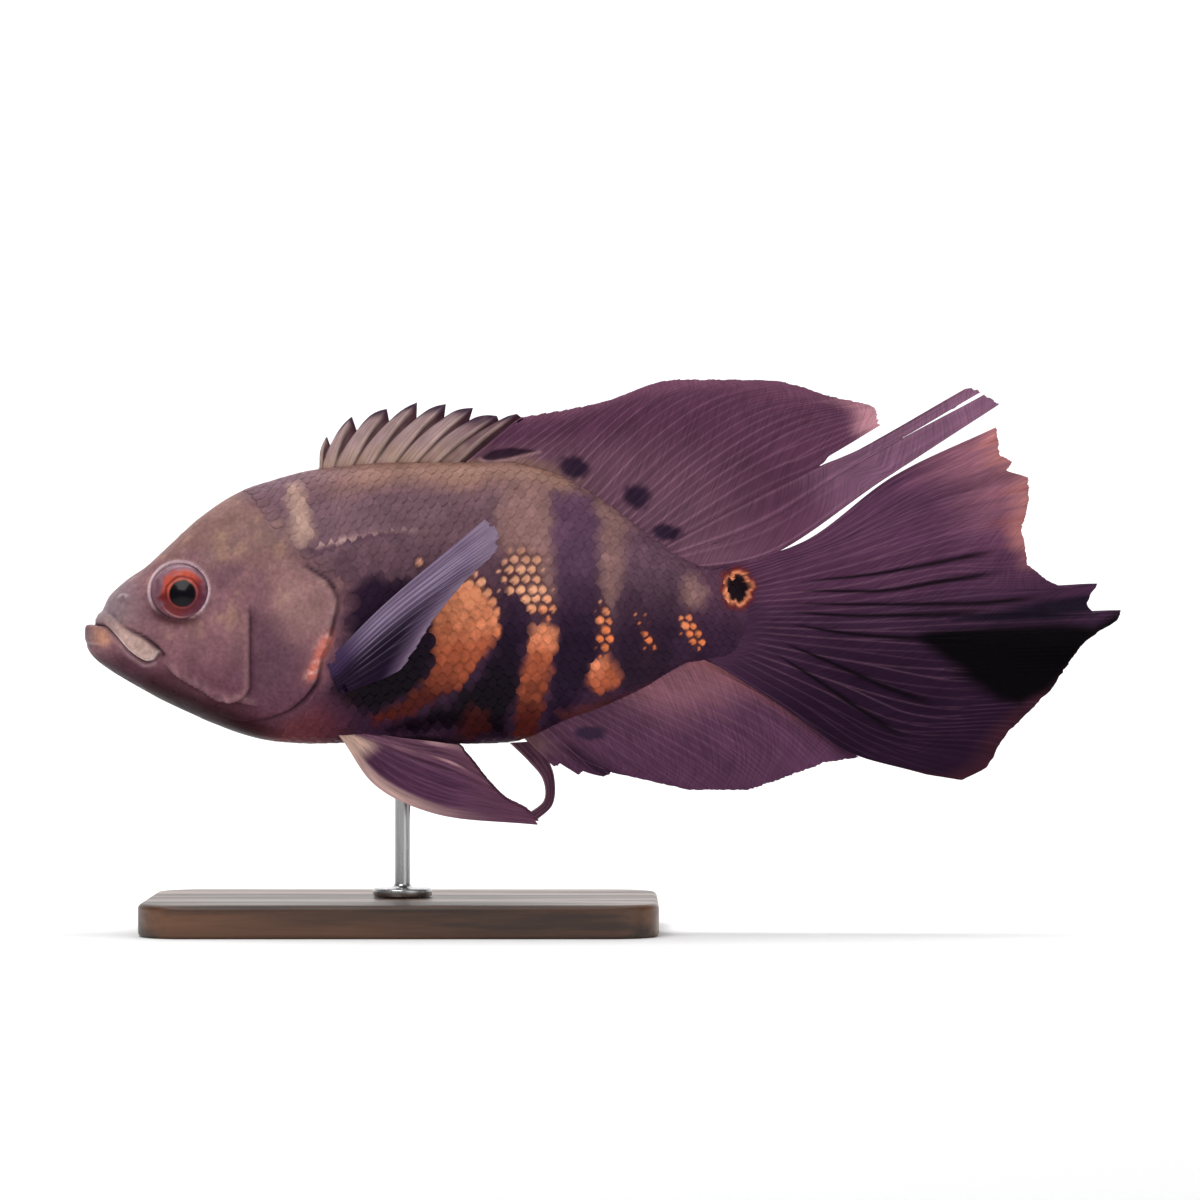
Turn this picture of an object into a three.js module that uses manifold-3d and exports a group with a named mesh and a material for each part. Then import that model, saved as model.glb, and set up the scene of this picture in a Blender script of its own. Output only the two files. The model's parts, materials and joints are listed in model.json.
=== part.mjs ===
// Long-finned oscar, a large cichlid: a still, life-size model of the swimming fish on a display stand.
// Millimetres, +Z up. The head points to -X and the left side of the fish faces -Y.
// Shapes are drawn from the side as [s, h]: s runs back from the snout,
// and h up from the pelvic fins' lowest point.
import * as THREE from "three";
import { mergeVertices } from "three/addons/utils/BufferGeometryUtils.js";
import Module from "manifold-3d";

const wasm = await Module();
wasm.setup();

// Driving dimensions
const FISH_LENGTH = 317.4; // from the lower jaw to the last tip of the tail fin; 200 of it is body
const JAW_AHEAD = 0.3; // how far the lower lip reaches ahead of the snout
const SNOUT_X = JAW_AHEAD - FISH_LENGTH / 2;
const LOWEST_Z = 32; // the pelvic fins' lowest point above the floor
const CUT = 0.3; // gap between neighbouring pieces
const LEFT = -1;
const RIGHT = 1;

// Outlines of the flesh, without fins
const BACK = [
  [2.9, 62.3], [7.6, 70.1], [12.2, 74.5], [19.2, 79.4], [26, 85.5], [35.1, 93.9], [44.3, 100.2],
  [56.5, 105.2], [71.8, 108.7], [96.2, 110.8], [126.7, 110.9], [140.5, 108.4], [154.2, 102], [169.5, 91],
  [181.7, 82.1], [190, 79], [206, 79],
];
const BELLY = [
  [0, 58], [0.9, 54], [3.1, 51], [7.6, 47.6], [12.2, 44.6], [21.4, 39.2], [30.5, 34.8], [39.7, 30.8],
  [48.9, 27.5], [58, 25.6], [71.8, 24.9], [117.6, 24.8], [129.8, 25.3], [135.9, 26.8], [145, 31.1],
  [157.3, 35.7], [169.5, 41.2], [178.6, 46.7], [184.7, 49.6], [193.9, 50.2], [206, 49],
];
const WIDEST_AT = [
  [0, 58.5], [3, 60.5], [20, 57.5], [45, 56.5], [60, 58], [96, 64], [140, 69], [175, 66.5], [206, 64],
];
const HALF_WIDTH = [
  [0, 11.4], [8, 12.4], [20, 14.8], [35, 17.2], [50, 18.9], [65, 19.8], [80, 19.9], [100, 19.3], [120, 17.6],
  [140, 14.9], [160, 11.3], [180, 7.4], [193, 4.6], [206, 2],
];
const SNOUT_ROUND = 12.5; // the jaws round off over this length, seen from above
const BACK_FULLNESS = [[0, 2.5], [40, 2.2], [100, 1.9], [206, 2]];
const BELLY_FULLNESS = 2.3;
const UPPER_JAW_TIP = 2.9;
const TAIL_ROOT = [
  [186, 46], [193.5, 49], [198, 52.5], [201.2, 59], [201.8, 64], [200.6, 70], [197.5, 75.5], [193.5, 79],
  [186, 84],
];
const SHOULDER_CUT = 117;
const STALK_CUT = 175;

// Head
const MOUTH_LINE = [[-2, 61.6], [2.7, 62.2], [7.6, 60.3], [10.7, 57.1], [14, 54], [18, 51.4], [21.4, 50.3]];
const JAW_REAR = [[27.5, 41.2], [36, 28]];
const UPPER_LIP = [[3.4, 64.6], [7, 64.2], [11.3, 60.6], [16.2, 56.8], [20.6, 53.6], [23.2, 52.2]];
const UPPER_LIP_RADIUS = 1.75;
const LOWER_LIP = [[2.2, 58.2], [6.5, 57.2], [10.2, 53.8], [14.2, 51], [18.4, 49], [21, 48.8]];
const LOWER_LIP_RADIUS = [[0, 1], [0.25, 1.5], [0.5, 2], [0.75, 1.5], [1, 1]];
const EYE_AT = [28.9, 71.7];
const EYE_RADIUS = 10.3;
const EYE_DEPTH = 5.2;
const EYE_STANDS_OUT = 3;
const RIM_RADIUS = 10.1;
const RIM_THICK = 0.8;
const NOSTRIL_AT = [11.5, 69.4];
const NOSTRIL_RADIUS = 0.9;
const CHEEK_GROOVE = [[51.3, 66.5], [51.9, 54], [51.9, 43], [49, 39], [43.5, 37.2], [37.3, 38.8]];
const GROOVE_RADIUS = 0.75;
const GILL_COVER = [
  [53.4, 65], [56.5, 74.5], [63, 79.5], [69.3, 78], [74.2, 75], [77.3, 71], [77.6, 66.5], [76, 60.5],
  [74.4, 54], [72.6, 46], [69.5, 40.6], [65, 36.6], [59.5, 33.6], [54.5, 32.8], [54, 42], [54, 54],
];
const GILL_COVER_DEEP = 1.4;
const GILL_COVER_RAISED = [[53, 0.1], [60, 0.5], [70, 1.1], [80, 1.3]];
const GILL_OPENING = [[71, 120], [71, 78], [71.5, 56], [68, 42], [61, 36], [54, 31.5], [52, 15]];

// Sizes of fin membranes and rays, thick from side to side
const MEMBRANE = 0.55;
const RAY_ROOT = 1.9;
const RAY_TIP = 0.75;
const ROOT_SINK = 3; // how far a fin reaches into the flesh before it is cut to it

// A smooth value along x through [x, value] pairs, which never overshoots them.
function track(pairs) {
  const slope = (i) => (pairs[i + 1][1] - pairs[i][1]) / (pairs[i + 1][0] - pairs[i][0]);
  const last = pairs.length - 1;
  const tangents = pairs.map((_, i) => {
    if (i === 0) return slope(0);
    if (i === last) return slope(last - 1);
    const [a, b] = [slope(i - 1), slope(i)];
    return a * b <= 0 ? 0 : (2 * a * b) / (a + b);
  });
  return (x) => {
    if (x <= pairs[0][0]) return pairs[0][1];
    if (x >= pairs[last][0]) return pairs[last][1];
    const i = pairs.findIndex((p) => p[0] > x) - 1;
    const width = pairs[i + 1][0] - pairs[i][0];
    const t = (x - pairs[i][0]) / width;
    const [a, b] = [pairs[i][1], pairs[i + 1][1]];
    return (
      a * (1 + 2 * t) * (1 - t) ** 2 + b * t * t * (3 - 2 * t) +
      width * t * (1 - t) * (tangents[i] * (1 - t) - tangents[i + 1] * t)
    );
  };
}

// A value along x through [x, value] pairs, in straight steps.
function steps(pairs) {
  return (x) => {
    if (x <= pairs[0][0]) return pairs[0][1];
    const i = pairs.findIndex((p) => p[0] >= x);
    if (i < 0) return pairs[pairs.length - 1][1];
    const share = (x - pairs[i - 1][0]) / (pairs[i][0] - pairs[i - 1][0]);
    return THREE.MathUtils.lerp(pairs[i - 1][1], pairs[i][1], share);
  };
}

const place = (s, y, h) => new THREE.Vector3(SNOUT_X + s, y, LOWEST_Z + h);
const rise = (from, to, x) => THREE.MathUtils.smoothstep(x, from, to);

// Solids
function solid(geometry) {
  const bare = geometry.clone();
  for (const name of Object.keys(bare.attributes)) {
    if (name !== "position") bare.deleteAttribute(name);
  }
  const merged = mergeVertices(bare, 1e-4);
  const triVerts = new Uint32Array(merged.index.array);
  const vertProperties = merged.attributes.position.array;
  const make = () => new wasm.Manifold(new wasm.Mesh({ numProp: 3, vertProperties, triVerts }));
  const made = make();
  if (made.volume() > 0) return made;
  for (let i = 1; i < triVerts.length; i += 3) {
    [triVerts[i], triVerts[i + 1]] = [triVerts[i + 1], triVerts[i]];
  }
  return make();
}

function largest(body) {
  return body.decompose().reduce((a, b) => (a.volume() > b.volume() ? a : b));
}

function meshOf(name, body, look) {
  const { vertProperties, triVerts, numProp } = largest(body).getMesh();
  const count = vertProperties.length / numProp;
  const position = new Float32Array(count * 3);
  for (let i = 0; i < count; i++) position.set(vertProperties.subarray(i * numProp, i * numProp + 3), i * 3);
  const geometry = new THREE.BufferGeometry();
  geometry.setAttribute("position", new THREE.BufferAttribute(position, 3));
  geometry.setIndex(new THREE.BufferAttribute(triVerts, 1));
  geometry.computeVertexNormals();
  const mesh = new THREE.Mesh(geometry, look);
  mesh.name = name;
  return mesh;
}

// A closed rounded body: a sphere's rings and sides moved to at(ring share, side angle).
function ringed(rings, sides, at) {
  const geometry = new THREE.SphereGeometry(1, sides, rings);
  const position = geometry.getAttribute("position");
  for (let i = 0; i < position.count; i++) {
    const ring = Math.floor(i / (sides + 1));
    const side = i % (sides + 1) % sides;
    const p = at(ring / rings, (side / sides) * 2 * Math.PI);
    position.setXYZ(i, p.x, p.y, p.z);
  }
  return solid(geometry);
}

// A straight-sided block with an outline in [s, h], from y0 to y1.
function block(outline, y0, y1) {
  const shape = new THREE.Shape(outline.map(([s, h]) => new THREE.Vector2(SNOUT_X + s, LOWEST_Z + h)));
  const geometry = new THREE.ExtrudeGeometry(shape, { depth: y1 - y0, bevelEnabled: false });
  geometry.rotateX(Math.PI / 2);
  geometry.translate(0, y1, 0);
  return solid(geometry);
}

// An outline moved outwards by a distance.
function widened(outline, by) {
  const clockwise = THREE.ShapeUtils.isClockWise(outline.map(([s, h]) => new THREE.Vector2(s, h)));
  const turn = clockwise ? -by : by;
  return outline.map((p, i) => {
    const before = outline[(i + outline.length - 1) % outline.length];
    const after = outline[(i + 1) % outline.length];
    const along = new THREE.Vector2(after[0] - before[0], after[1] - before[1]).normalize();
    return [p[0] + along.y * turn, p[1] - along.x * turn];
  });
}

// The flesh
const back = track(BACK);
const belly = track(BELLY);
const widestAt = track(WIDEST_AT);
const halfWidth = track(HALF_WIDTH);
const backFullness = track(BACK_FULLNESS);

// The cross-section at s, grown by a margin on all sides. The lower jaw's flesh starts ahead of the upper's.
function section(s, grow, tip) {
  const ahead = Math.min(Math.max(s - tip, 0) / SNOUT_ROUND, 1);
  const round = Math.sqrt(1 - (1 - ahead) ** 2);
  const middle = widestAt(s);
  const opening = Math.min(1, round * 1.15);
  const high = tip > 0 ? back(s) : THREE.MathUtils.lerp(middle, Math.max(back(s), middle + 4), opening);
  const low = tip > 0 ? THREE.MathUtils.lerp(middle, belly(s), opening) : belly(s);
  const half = halfWidth(s) * round + grow;
  return { middle, high: high + grow, low: low - grow, half, full: backFullness(s) };
}

function flesh(grow, tip, rings, sides, end) {
  const start = tip - grow;
  return ringed(rings, sides, (share, angle) => {
    const lastRing = (rings - 1) / rings;
    const along = Math.min(share / lastRing, 1);
    const s = THREE.MathUtils.lerp(start, end, along ** 1.35);
    if (share === 0) return place(start, 0, widestAt(tip));
    if (share === 1) return place(end, 0, widestAt(end));
    const { middle, high, low, half, full } = section(Math.max(s, tip + 0.02), grow, tip);
    const [up, across] = [-Math.cos(angle), Math.sin(angle)];
    const power = up > 0 ? full : BELLY_FULLNESS;
    const reach = up > 0 ? high - middle : middle - low;
    return place(s, half * across, middle + Math.sign(up) * reach * Math.abs(up) ** (2 / power));
  });
}

// Half the width of the flesh at a point seen from the side.
function sideAt(s, h, tip = UPPER_JAW_TIP) {
  const { middle, high, low, half, full } = section(s, 0, tip);
  const up = h > middle;
  const share = Math.min(up ? (h - middle) / (high - middle) : (middle - h) / (middle - low), 1);
  return half * Math.sqrt(Math.max(0, 1 - share ** (up ? full : BELLY_FULLNESS)));
}

function onSkin(s, h, side, lift = 0, tip = UPPER_JAW_TIP) {
  return place(s, side * (sideAt(s, h, tip) + lift), h);
}

function skinNormal(s, h, side) {
  const reach = 1.5;
  const along = onSkin(s + reach, h, side).sub(onSkin(s - reach, h, side));
  const up = onSkin(s, h + reach, side).sub(onSkin(s, h - reach, side));
  const normal = new THREE.Vector3().crossVectors(up, along).normalize();
  return normal.y * side > 0 ? normal : normal.negate();
}

// A round bar along a smooth path, with its radius given along it and closed ends.
function bar(points, radiusAt, rings, sides) {
  const path = new THREE.CatmullRomCurve3(points, false, "centripetal");
  const frames = path.computeFrenetFrames(rings, false);
  return ringed(rings, sides, (share, angle) => {
    const centre = path.getPointAt(share);
    const k = Math.round(share * rings);
    const radius = k === 0 || k === rings ? 0 : radiusAt(share);
    return centre
      .addScaledVector(frames.normals[k], Math.cos(angle) * radius)
      .addScaledVector(frames.binormals[k], Math.sin(angle) * radius);
  });
}

// A lip: a bar round the front of the jaw from one corner of the mouth to the other.
function lip(line, radiusAt, tip) {
  const heights = track(line);
  const front = line[0][0];
  const rear = line[line.length - 1][0];
  const count = 7;
  const left = Array.from({ length: count }, (_, i) => {
    const s = THREE.MathUtils.lerp(rear, front, Math.sqrt(i / count));
    return onSkin(s, heights(s), LEFT, -0.5, tip);
  });
  const right = left.map((p) => new THREE.Vector3(p.x, -p.y, p.z)).reverse();
  return bar([...left, place(front - 0.6, 0, heights(front)), ...right], radiusAt, 20, 6);
}

// Fins: rays fan out from a root line to a margin
// A fin is drawn by ribs, each [u, four points from root to margin], with u from 0 at its front ray to 1.
// Its bundles, each [u from, u to, number of rays], are torn apart beyond the shares of length in tears.
function finShape({ ribs, margin, bendFrom = 0.55 }) {
  const curves = ribs.map(([u, ...points]) => [
    u,
    new THREE.CatmullRomCurve3(points.map(([s, h]) => new THREE.Vector3(s, h, 0)), false, "centripetal"),
  ]);
  const ribsAt = (u, v) => {
    const points = curves.map(([at, curve]) => [at, curve.getPoint(v)]);
    return [track(points.map(([at, p]) => [at, p.x]))(u), track(points.map(([at, p]) => [at, p.y]))(u)];
  };
  const marginS = margin && steps(margin.map(([u, s]) => [u, s]));
  const marginH = margin && steps(margin.map(([u, , h]) => [u, h]));
  return (u, v) => {
    const [s, h] = ribsAt(u, Math.max(v, 0));
    if (v < 0) {
      const [s2, h2] = ribsAt(u, 0.02);
      const length = Math.hypot(s2 - s, h2 - h);
      return [s + ((s - s2) / length) * -v, h + ((h - h2) / length) * -v];
    }
    if (!margin) return [s, h];
    const [endS, endH] = ribsAt(u, 1);
    const share = rise(bendFrom, 1, v);
    return [s + (marginS(u) - endS) * share, h + (marginH(u) - endH) * share];
  };
}

function columnsOf(bundles) {
  const columns = [];
  bundles.forEach(([from, to, rays], b) => {
    for (let k = 0; k <= 2 * rays; k++) {
      columns.push({ u: THREE.MathUtils.lerp(from, to, k / (2 * rays)), ray: k % 2 === 0, bundle: b });
    }
  });
  return columns;
}

// A closed sheet over a grid of middle points, with its thickness at each and a test of which cells exist.
function sheet(across, along, middle, thick, kept) {
  const width = across + 1;
  const index = (i, j) => j * width + i;
  const points = [];
  for (let j = 0; j <= along; j++) for (let i = 0; i <= across; i++) points.push(middle(i, j));
  const within = THREE.MathUtils.clamp;
  const at = (i, j) => points[index(within(i, 0, across), within(j, 0, along))];
  const faces = [[], []];
  for (let j = 0; j <= along; j++) {
    for (let i = 0; i <= across; i++) {
      const du = at(i + 1, j).clone().sub(at(i - 1, j));
      const dv = at(i, j + 1).clone().sub(at(i, j - 1));
      const normal = new THREE.Vector3().crossVectors(du, dv).normalize();
      const half = thick(i, j) / 2;
      faces[0].push(at(i, j).clone().addScaledVector(normal, half));
      faces[1].push(at(i, j).clone().addScaledVector(normal, -half));
    }
  }
  const there = (i, j) => i >= 0 && j >= 0 && i < across && j < along && kept(i, j);
  const far = points.length;
  const triangles = [];
  for (let j = 0; j < along; j++) {
    for (let i = 0; i < across; i++) {
      if (!there(i, j)) continue;
      const [a, b, c, d] = [index(i, j), index(i + 1, j), index(i + 1, j + 1), index(i, j + 1)];
      triangles.push(a, b, c, a, c, d, a + far, c + far, b + far, a + far, d + far, c + far);
      const wall = (p, q) => triangles.push(p, p + far, q + far, p, q + far, q);
      if (!there(i, j - 1)) wall(a, b);
      if (!there(i + 1, j)) wall(b, c);
      if (!there(i, j + 1)) wall(c, d);
      if (!there(i - 1, j)) wall(d, a);
    }
  }
  const geometry = new THREE.BufferGeometry();
  const position = faces.flat().flatMap((p) => p.toArray());
  geometry.setAttribute("position", new THREE.Float32BufferAttribute(position, 3));
  geometry.setIndex(triangles);
  return solid(geometry);
}

function fin({ bundles, tears = [], rows, sway, rootThick = RAY_ROOT, sink = ROOT_SINK, ...shape }) {
  const outline = finShape(shape);
  const columns = columnsOf(bundles);
  const share = (j) => (j === 0 ? -sink : (j - 1) / (rows - 1));
  const middle = (i, j) => {
    const { u } = columns[i];
    const v = share(j);
    const [s, h] = outline(u, v);
    return place(s, sway(u, Math.max(v, 0), s, h), h);
  };
  const thick = (i, j) => {
    const v = Math.max(share(j), 0);
    const root = Math.max(0, 1 - v / 0.16) ** 2 * (rootThick - RAY_ROOT);
    const taper = THREE.MathUtils.lerp(RAY_ROOT, RAY_TIP, Math.min(v * 1.25, 1));
    const valley = THREE.MathUtils.lerp(MEMBRANE + 0.3, MEMBRANE, v);
    return (columns[i].ray ? taper : valley) + root;
  };
  const kept = (i, j) => {
    const [here, next] = [columns[i], columns[i + 1]];
    return here.bundle === next.bundle || share(j + 1) <= tears[here.bundle];
  };
  return sheet(columns.length - 1, rows, middle, thick, kept);
}

const DORSAL_SOFT = {
  ribs: [
    [0, [117.6, 111.1], [124.3, 115.4], [130.4, 120.3], [135, 124.1]],
    [0.15, [131.3, 111.1], [140.5, 117.6], [148.1, 123.1], [157.3, 129.2]],
    [0.3, [143.8, 107.2], [154.2, 117.6], [166.4, 128.2], [181.7, 136.3]],
    [0.45, [154.2, 101.7], [169.5, 117.6], [187.8, 130.4], [208.5, 135.9]],
    [0.6, [163.4, 95.6], [184.7, 114.5], [206.1, 127.3], [228.1, 131]],
    [0.75, [171, 89.5], [195.4, 108.4], [219.8, 122.1], [241.5, 127.3]],
    [0.87, [176.5, 85.2], [201.5, 99.2], [224.4, 111.1], [243.4, 122.4]],
    [0.885, [177.1, 84.6], [202.1, 98], [231, 111.9], [269.6, 133.7]],
    [0.94, [179.8, 82.4], [206.7, 91.6], [234.2, 109], [274.5, 131.9]],
    [1, [182.9, 78.6], [207.6, 82.3], [243.6, 105.6], [279.4, 128.6]],
  ],
  bundles: [[0, 0.87, 16], [0.885, 0.93, 2], [0.945, 1, 2]],
  tears: [0.62, 0.8],
  rows: 11,
  // The rear rays hang a little towards the left side, in front of the tail fin.
  sway: (u, v) => -2.8 * u * v ** 1.5 + 0.9 * Math.sin(7 * u + 1) * v,
};

const CAUDAL = {
  ribs: [
    [0, [194.5, 78.5], [219.6, 86.2], [246.8, 106.2], [278.8, 121.8]],
    [0.2, [198.5, 74.8], [230.5, 85.5], [261.1, 97.7], [289.8, 104.7]],
    [0.4, [200.6, 69.3], [233.6, 73.3], [264.1, 80.9], [287.3, 87]],
    [0.5, [201.5, 65.6], [235.1, 67.2], [267.2, 71.8], [297.7, 73]],
    [0.6, [201.8, 62], [235.1, 62], [270.2, 64.1], [310, 65.3]],
    [0.7, [201.2, 58.3], [233.6, 55], [267.2, 53.4], [305.6, 53.4]],
    [0.8, [200, 55], [230.5, 46.7], [261.1, 39.7], [295.3, 40.9]],
    [0.9, [197.6, 51.9], [222.9, 39.7], [248.9, 26], [276.3, 18.3]],
    [1, [193.3, 49.2], [212.2, 37.6], [233.6, 22.3], [264.1, 12.8]],
  ],
  // The margin is torn: a blunt upper corner, two steps, a spike, a deep nick and a long prong.
  margin: [
    [0, 278.8, 121.8], [0.08, 279.8, 113.5], [0.12, 283.5, 111], [0.15, 282, 108.5], [0.17, 288.5, 106.3],
    [0.24, 288.6, 100.5], [0.29, 288, 96.8], [0.35, 286.3, 91], [0.42, 288, 79.6], [0.47, 294, 75],
    [0.5, 299.5, 72.2], [0.528, 309.8, 73.8], [0.556, 306.4, 67.8], [0.583, 308.6, 64.6],
    [0.6115, 317.2, 65.6], [0.639, 316.8, 62.6], [0.667, 311, 59], [0.7, 305, 54.4], [0.8, 295.3, 41],
    [0.88, 282, 28], [0.93, 276, 17.5], [0.96, 268, 13.6], [1, 257, 15.4],
  ],
  bundles: [[0, 1, 18]],
  rows: 11,
  rootThick: 3.8,
  // Soft folds deepen towards the margin, most in the lower half, where the fin folds over itself.
  sway: (u, v) => {
    const fold = Math.exp(-(((u - 0.66) / 0.085) ** 2));
    return 2.4 * v * v * Math.sin(9 * u + 1.4) + 6.5 * v ** 1.6 * fold;
  },
};

const ANAL = {
  ribs: [
    [0, [135, 25.6], [137.7, 22.9], [140.8, 19.8], [143.8, 16.8]],
    [0.12, [140.5, 28.7], [145, 24.4], [151.1, 19.2], [157.3, 14.7]],
    [0.3, [149.6, 33], [160.9, 26], [172.5, 18.3], [184.7, 10.4]],
    [0.5, [159.4, 36.9], [174, 29.6], [189.3, 20.8], [203.1, 10.4]],
    [0.7, [169.5, 41.5], [186.3, 35.1], [203.1, 26], [216.8, 15.3]],
    [0.85, [179, 46.6], [196.5, 40.2], [212.8, 30.9], [226.6, 18.8]],
    [1, [188.5, 49.9], [203.5, 42.7], [219.5, 32.7], [236.8, 20.3]],
  ],
  // Three short spines at the front step the margin.
  margin: [
    [0, 143.6, 17.4], [0.03, 145.5, 18.4], [0.07, 151, 15], [0.09, 152.5, 16], [0.13, 159, 14.2],
    [0.15, 161, 15.8], [0.3, 184.7, 10.4], [0.5, 203.1, 10.4], [0.7, 215.6, 14.8], [0.85, 226.6, 18.8],
    [1, 236.8, 20.3],
  ],
  bundles: [[0, 0.135, 3], [0.145, 1, 13]],
  tears: [1],
  rows: 9,
  // The rear rays lie behind the tail fin's lower edge.
  sway: (u, v) => 3.2 * u * u * v ** 0.4 + 0.9 * Math.sin(6 * u) * v,
};

const PELVIC = {
  ribs: [
    [0, [79.1, 26], [88.9, 12.5], [106.9, 4], [138.9, 0.6]],
    [0.25, [80.9, 26.6], [93.1, 15.9], [109.9, 8.5], [135.3, 4.6]],
    [0.5, [82.7, 27.2], [96.8, 19.2], [112.1, 13.1], [128.2, 8.5]],
    [0.75, [84.6, 27.8], [98.6, 22.6], [112.1, 18.6], [123.7, 13.1]],
    [1, [86.4, 28.6], [96.4, 26.9], [106, 25.8], [114.8, 24.6]],
  ],
  bundles: [[0, 1, 6]],
  rows: 8,
  sink: 6,
};
const PELVIC_ROOT_OUT = 6.5; // sideways from the middle of the belly
const PELVIC_TIP_OUT = 14;

const PECTORAL = {
  ribs: [
    [0, [76.6, 51.9], [91.6, 66.6], [108.4, 80.9], [123.7, 93.4]],
    [0.2, [77.6, 50.1], [93.7, 65.3], [110.8, 78.5], [127, 90.1]],
    [0.4, [78.5, 47.9], [95, 62.6], [111.5, 74.8], [127.3, 85.2]],
    [0.6, [79.4, 45.5], [92.5, 56.2], [103.8, 65], [116.9, 74.2]],
    [0.8, [80.3, 43.4], [89.5, 48.9], [98.6, 55], [107.2, 62]],
    [1, [81.5, 41.2], [87.6, 43.4], [93.7, 45.8], [99.2, 48.9]],
  ],
  bundles: [[0, 1, 9]],
  rows: 8,
};
const PECTORAL_TIP_OUT = 14; // further out than its root

// The streamer of the right pelvic fin curls up behind its tip.
const STREAMER = [
  [[138.2, 1], [142.6, 5.8], [143.1, 14.6], [140.8, 20.6], [137, 25]],
  [[136.4, 2.6], [140, 7], [139.8, 13.4], [135.6, 19], [129.6, 24.3]],
];
const STREAMER_IN = 9; // how far it leans in towards the middle on its way up
const STREAMER_RAY = 0.9;

// The spiny front of the dorsal fin: each spine's root, tip and nick behind it, and the bulge of its flap
const SPINE_ROOTS = [
  [71.8, 109], [75.4, 109.4], [81.2, 109.9], [87.3, 110.3], [94, 110.6], [100.5, 110.8], [107.2, 110.9],
  [113.6, 110.9],
];
const SPINE_TIPS = [
  [73.9, 118.5], [81.5, 124.7], [92.2, 127], [101.4, 129], [110.2, 128.5], [118.5, 127.3], [125.8, 124.9],
  [131.9, 125.5],
];
const SPINE_NICKS = [
  [75.6, 113.9], [83.4, 119.1], [93, 122.7], [101.2, 123.9], [109.6, 124], [117.3, 123.4], [126.4, 123.2],
];
const FLAP_BULGES = [
  [77.4, 120.2], [86.6, 124.6], [96.4, 126.4], [105.4, 127.2], [113.4, 126.6], [121.2, 125], [129, 124.8],
];
const SPINE_BOW = 1.4;
const SPINE_THICK = { root: 2.4, tip: 0.7 };
// The rear edge of the last flap lies along the first soft ray.
const LAST_FLAP = { u: 0.3, root: [116.9, 110.9], top: [133.9, 124], bow: -0.6 };

function spinyDorsal() {
  const marks = [0, 0.14, 0.5];
  const last = SPINE_ROOTS.length - 1;
  const end = last + LAST_FLAP.u;
  const columns = [...SPINE_NICKS.flatMap((_, i) => marks.map((m) => i + m)), last, end];
  const root = [...SPINE_ROOTS.map((p, i) => [i, ...p]), [end, ...LAST_FLAP.root]];
  const flaps = SPINE_NICKS.flatMap((nick, i) => [
    [i, ...SPINE_TIPS[i]], [i + marks[1], ...nick], [i + marks[2], ...FLAP_BULGES[i]],
  ]);
  const top = [...flaps, [last, ...SPINE_TIPS[last]], [end, ...LAST_FLAP.top]];
  const [rootS, topS] = [root, top].map((points) => steps(points.map(([u, s]) => [u, s])));
  const [rootH, topH] = [root, top].map((points) => steps(points.map(([u, , h]) => [u, h])));
  const bowAt = steps([[last, SPINE_BOW], [end, LAST_FLAP.bow]]);
  const rows = 6;
  const middle = (i, j) => {
    const u = columns[i];
    const v = j === 0 ? -0.18 : (j - 1) / (rows - 1);
    const bow = bowAt(u) * Math.sin(Math.PI * Math.max(v, 0));
    const s = THREE.MathUtils.lerp(rootS(u), topS(u), v) - bow * 0.4;
    const h = THREE.MathUtils.lerp(rootH(u), topH(u), v) + bow * 0.5;
    return place(s, 0.5 * Math.sin(2.1 * u) * Math.max(v, 0), h);
  };
  const thick = (i, j) => {
    const v = Math.max(0, (j - 1) / (rows - 1));
    const spine = Math.abs(columns[i] - Math.round(columns[i])) < 0.01;
    const [root, tip] = spine ? [SPINE_THICK.root, SPINE_THICK.tip] : [1, MEMBRANE];
    return THREE.MathUtils.lerp(root, tip, v);
  };
  return sheet(columns.length - 1, rows, middle, thick, () => true);
}

function streamer() {
  const [outer, inner] = STREAMER.map(
    (line) => new THREE.CatmullRomCurve3(line.map(([s, h]) => place(s, 0, h)), false, "centripetal"),
  );
  const [across, along] = [4, 12];
  const middle = (i, j) => {
    const v = j / along;
    const p = outer.getPoint(v).lerp(inner.getPoint(v), i / across);
    p.y = PELVIC_TIP_OUT - 0.6 - STREAMER_IN * rise(0.1, 1, v) + 0.5 * Math.sin((i / across) * Math.PI);
    return p;
  };
  return sheet(across, along, middle, (i) => (i % 2 === 0 ? STREAMER_RAY : MEMBRANE), () => true);
}

// Looks
const flat = (color, roughness, metalness = 0) =>
  new THREE.MeshStandardMaterial({ color, roughness, metalness });
const LOOK = {
  head: flat(0x8a6d6a, 0.5),
  flank: flat(0x4e3a48, 0.5),
  cover: flat(0x8d6c70, 0.45),
  fin: flat(0x5c3f55, 0.55),
  spines: flat(0x8f7a72, 0.55),
  pectoral: flat(0x74648a, 0.4),
  eye: flat(0x9c4536, 0.15),
  wood: flat(0x4a2f20, 0.45),
  steel: flat(0xb9bcc0, 0.3, 1),
};

// The flesh is parted by thin cuts into head, lower jaw, gill covers, trunk and tail stalk.
const FLESH_END = 206;
const RINGS = 30;
const SIDES = 24;
const skin = flesh(0, UPPER_JAW_TIP, RINGS, SIDES, FLESH_END);
const jawSkin = flesh(0, 0, RINGS, SIDES, FLESH_END);
const skinClear = flesh(CUT, UPPER_JAW_TIP, RINGS, SIDES, FLESH_END + CUT);
const FAR = 60; // beyond the widest fin to either side

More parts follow.
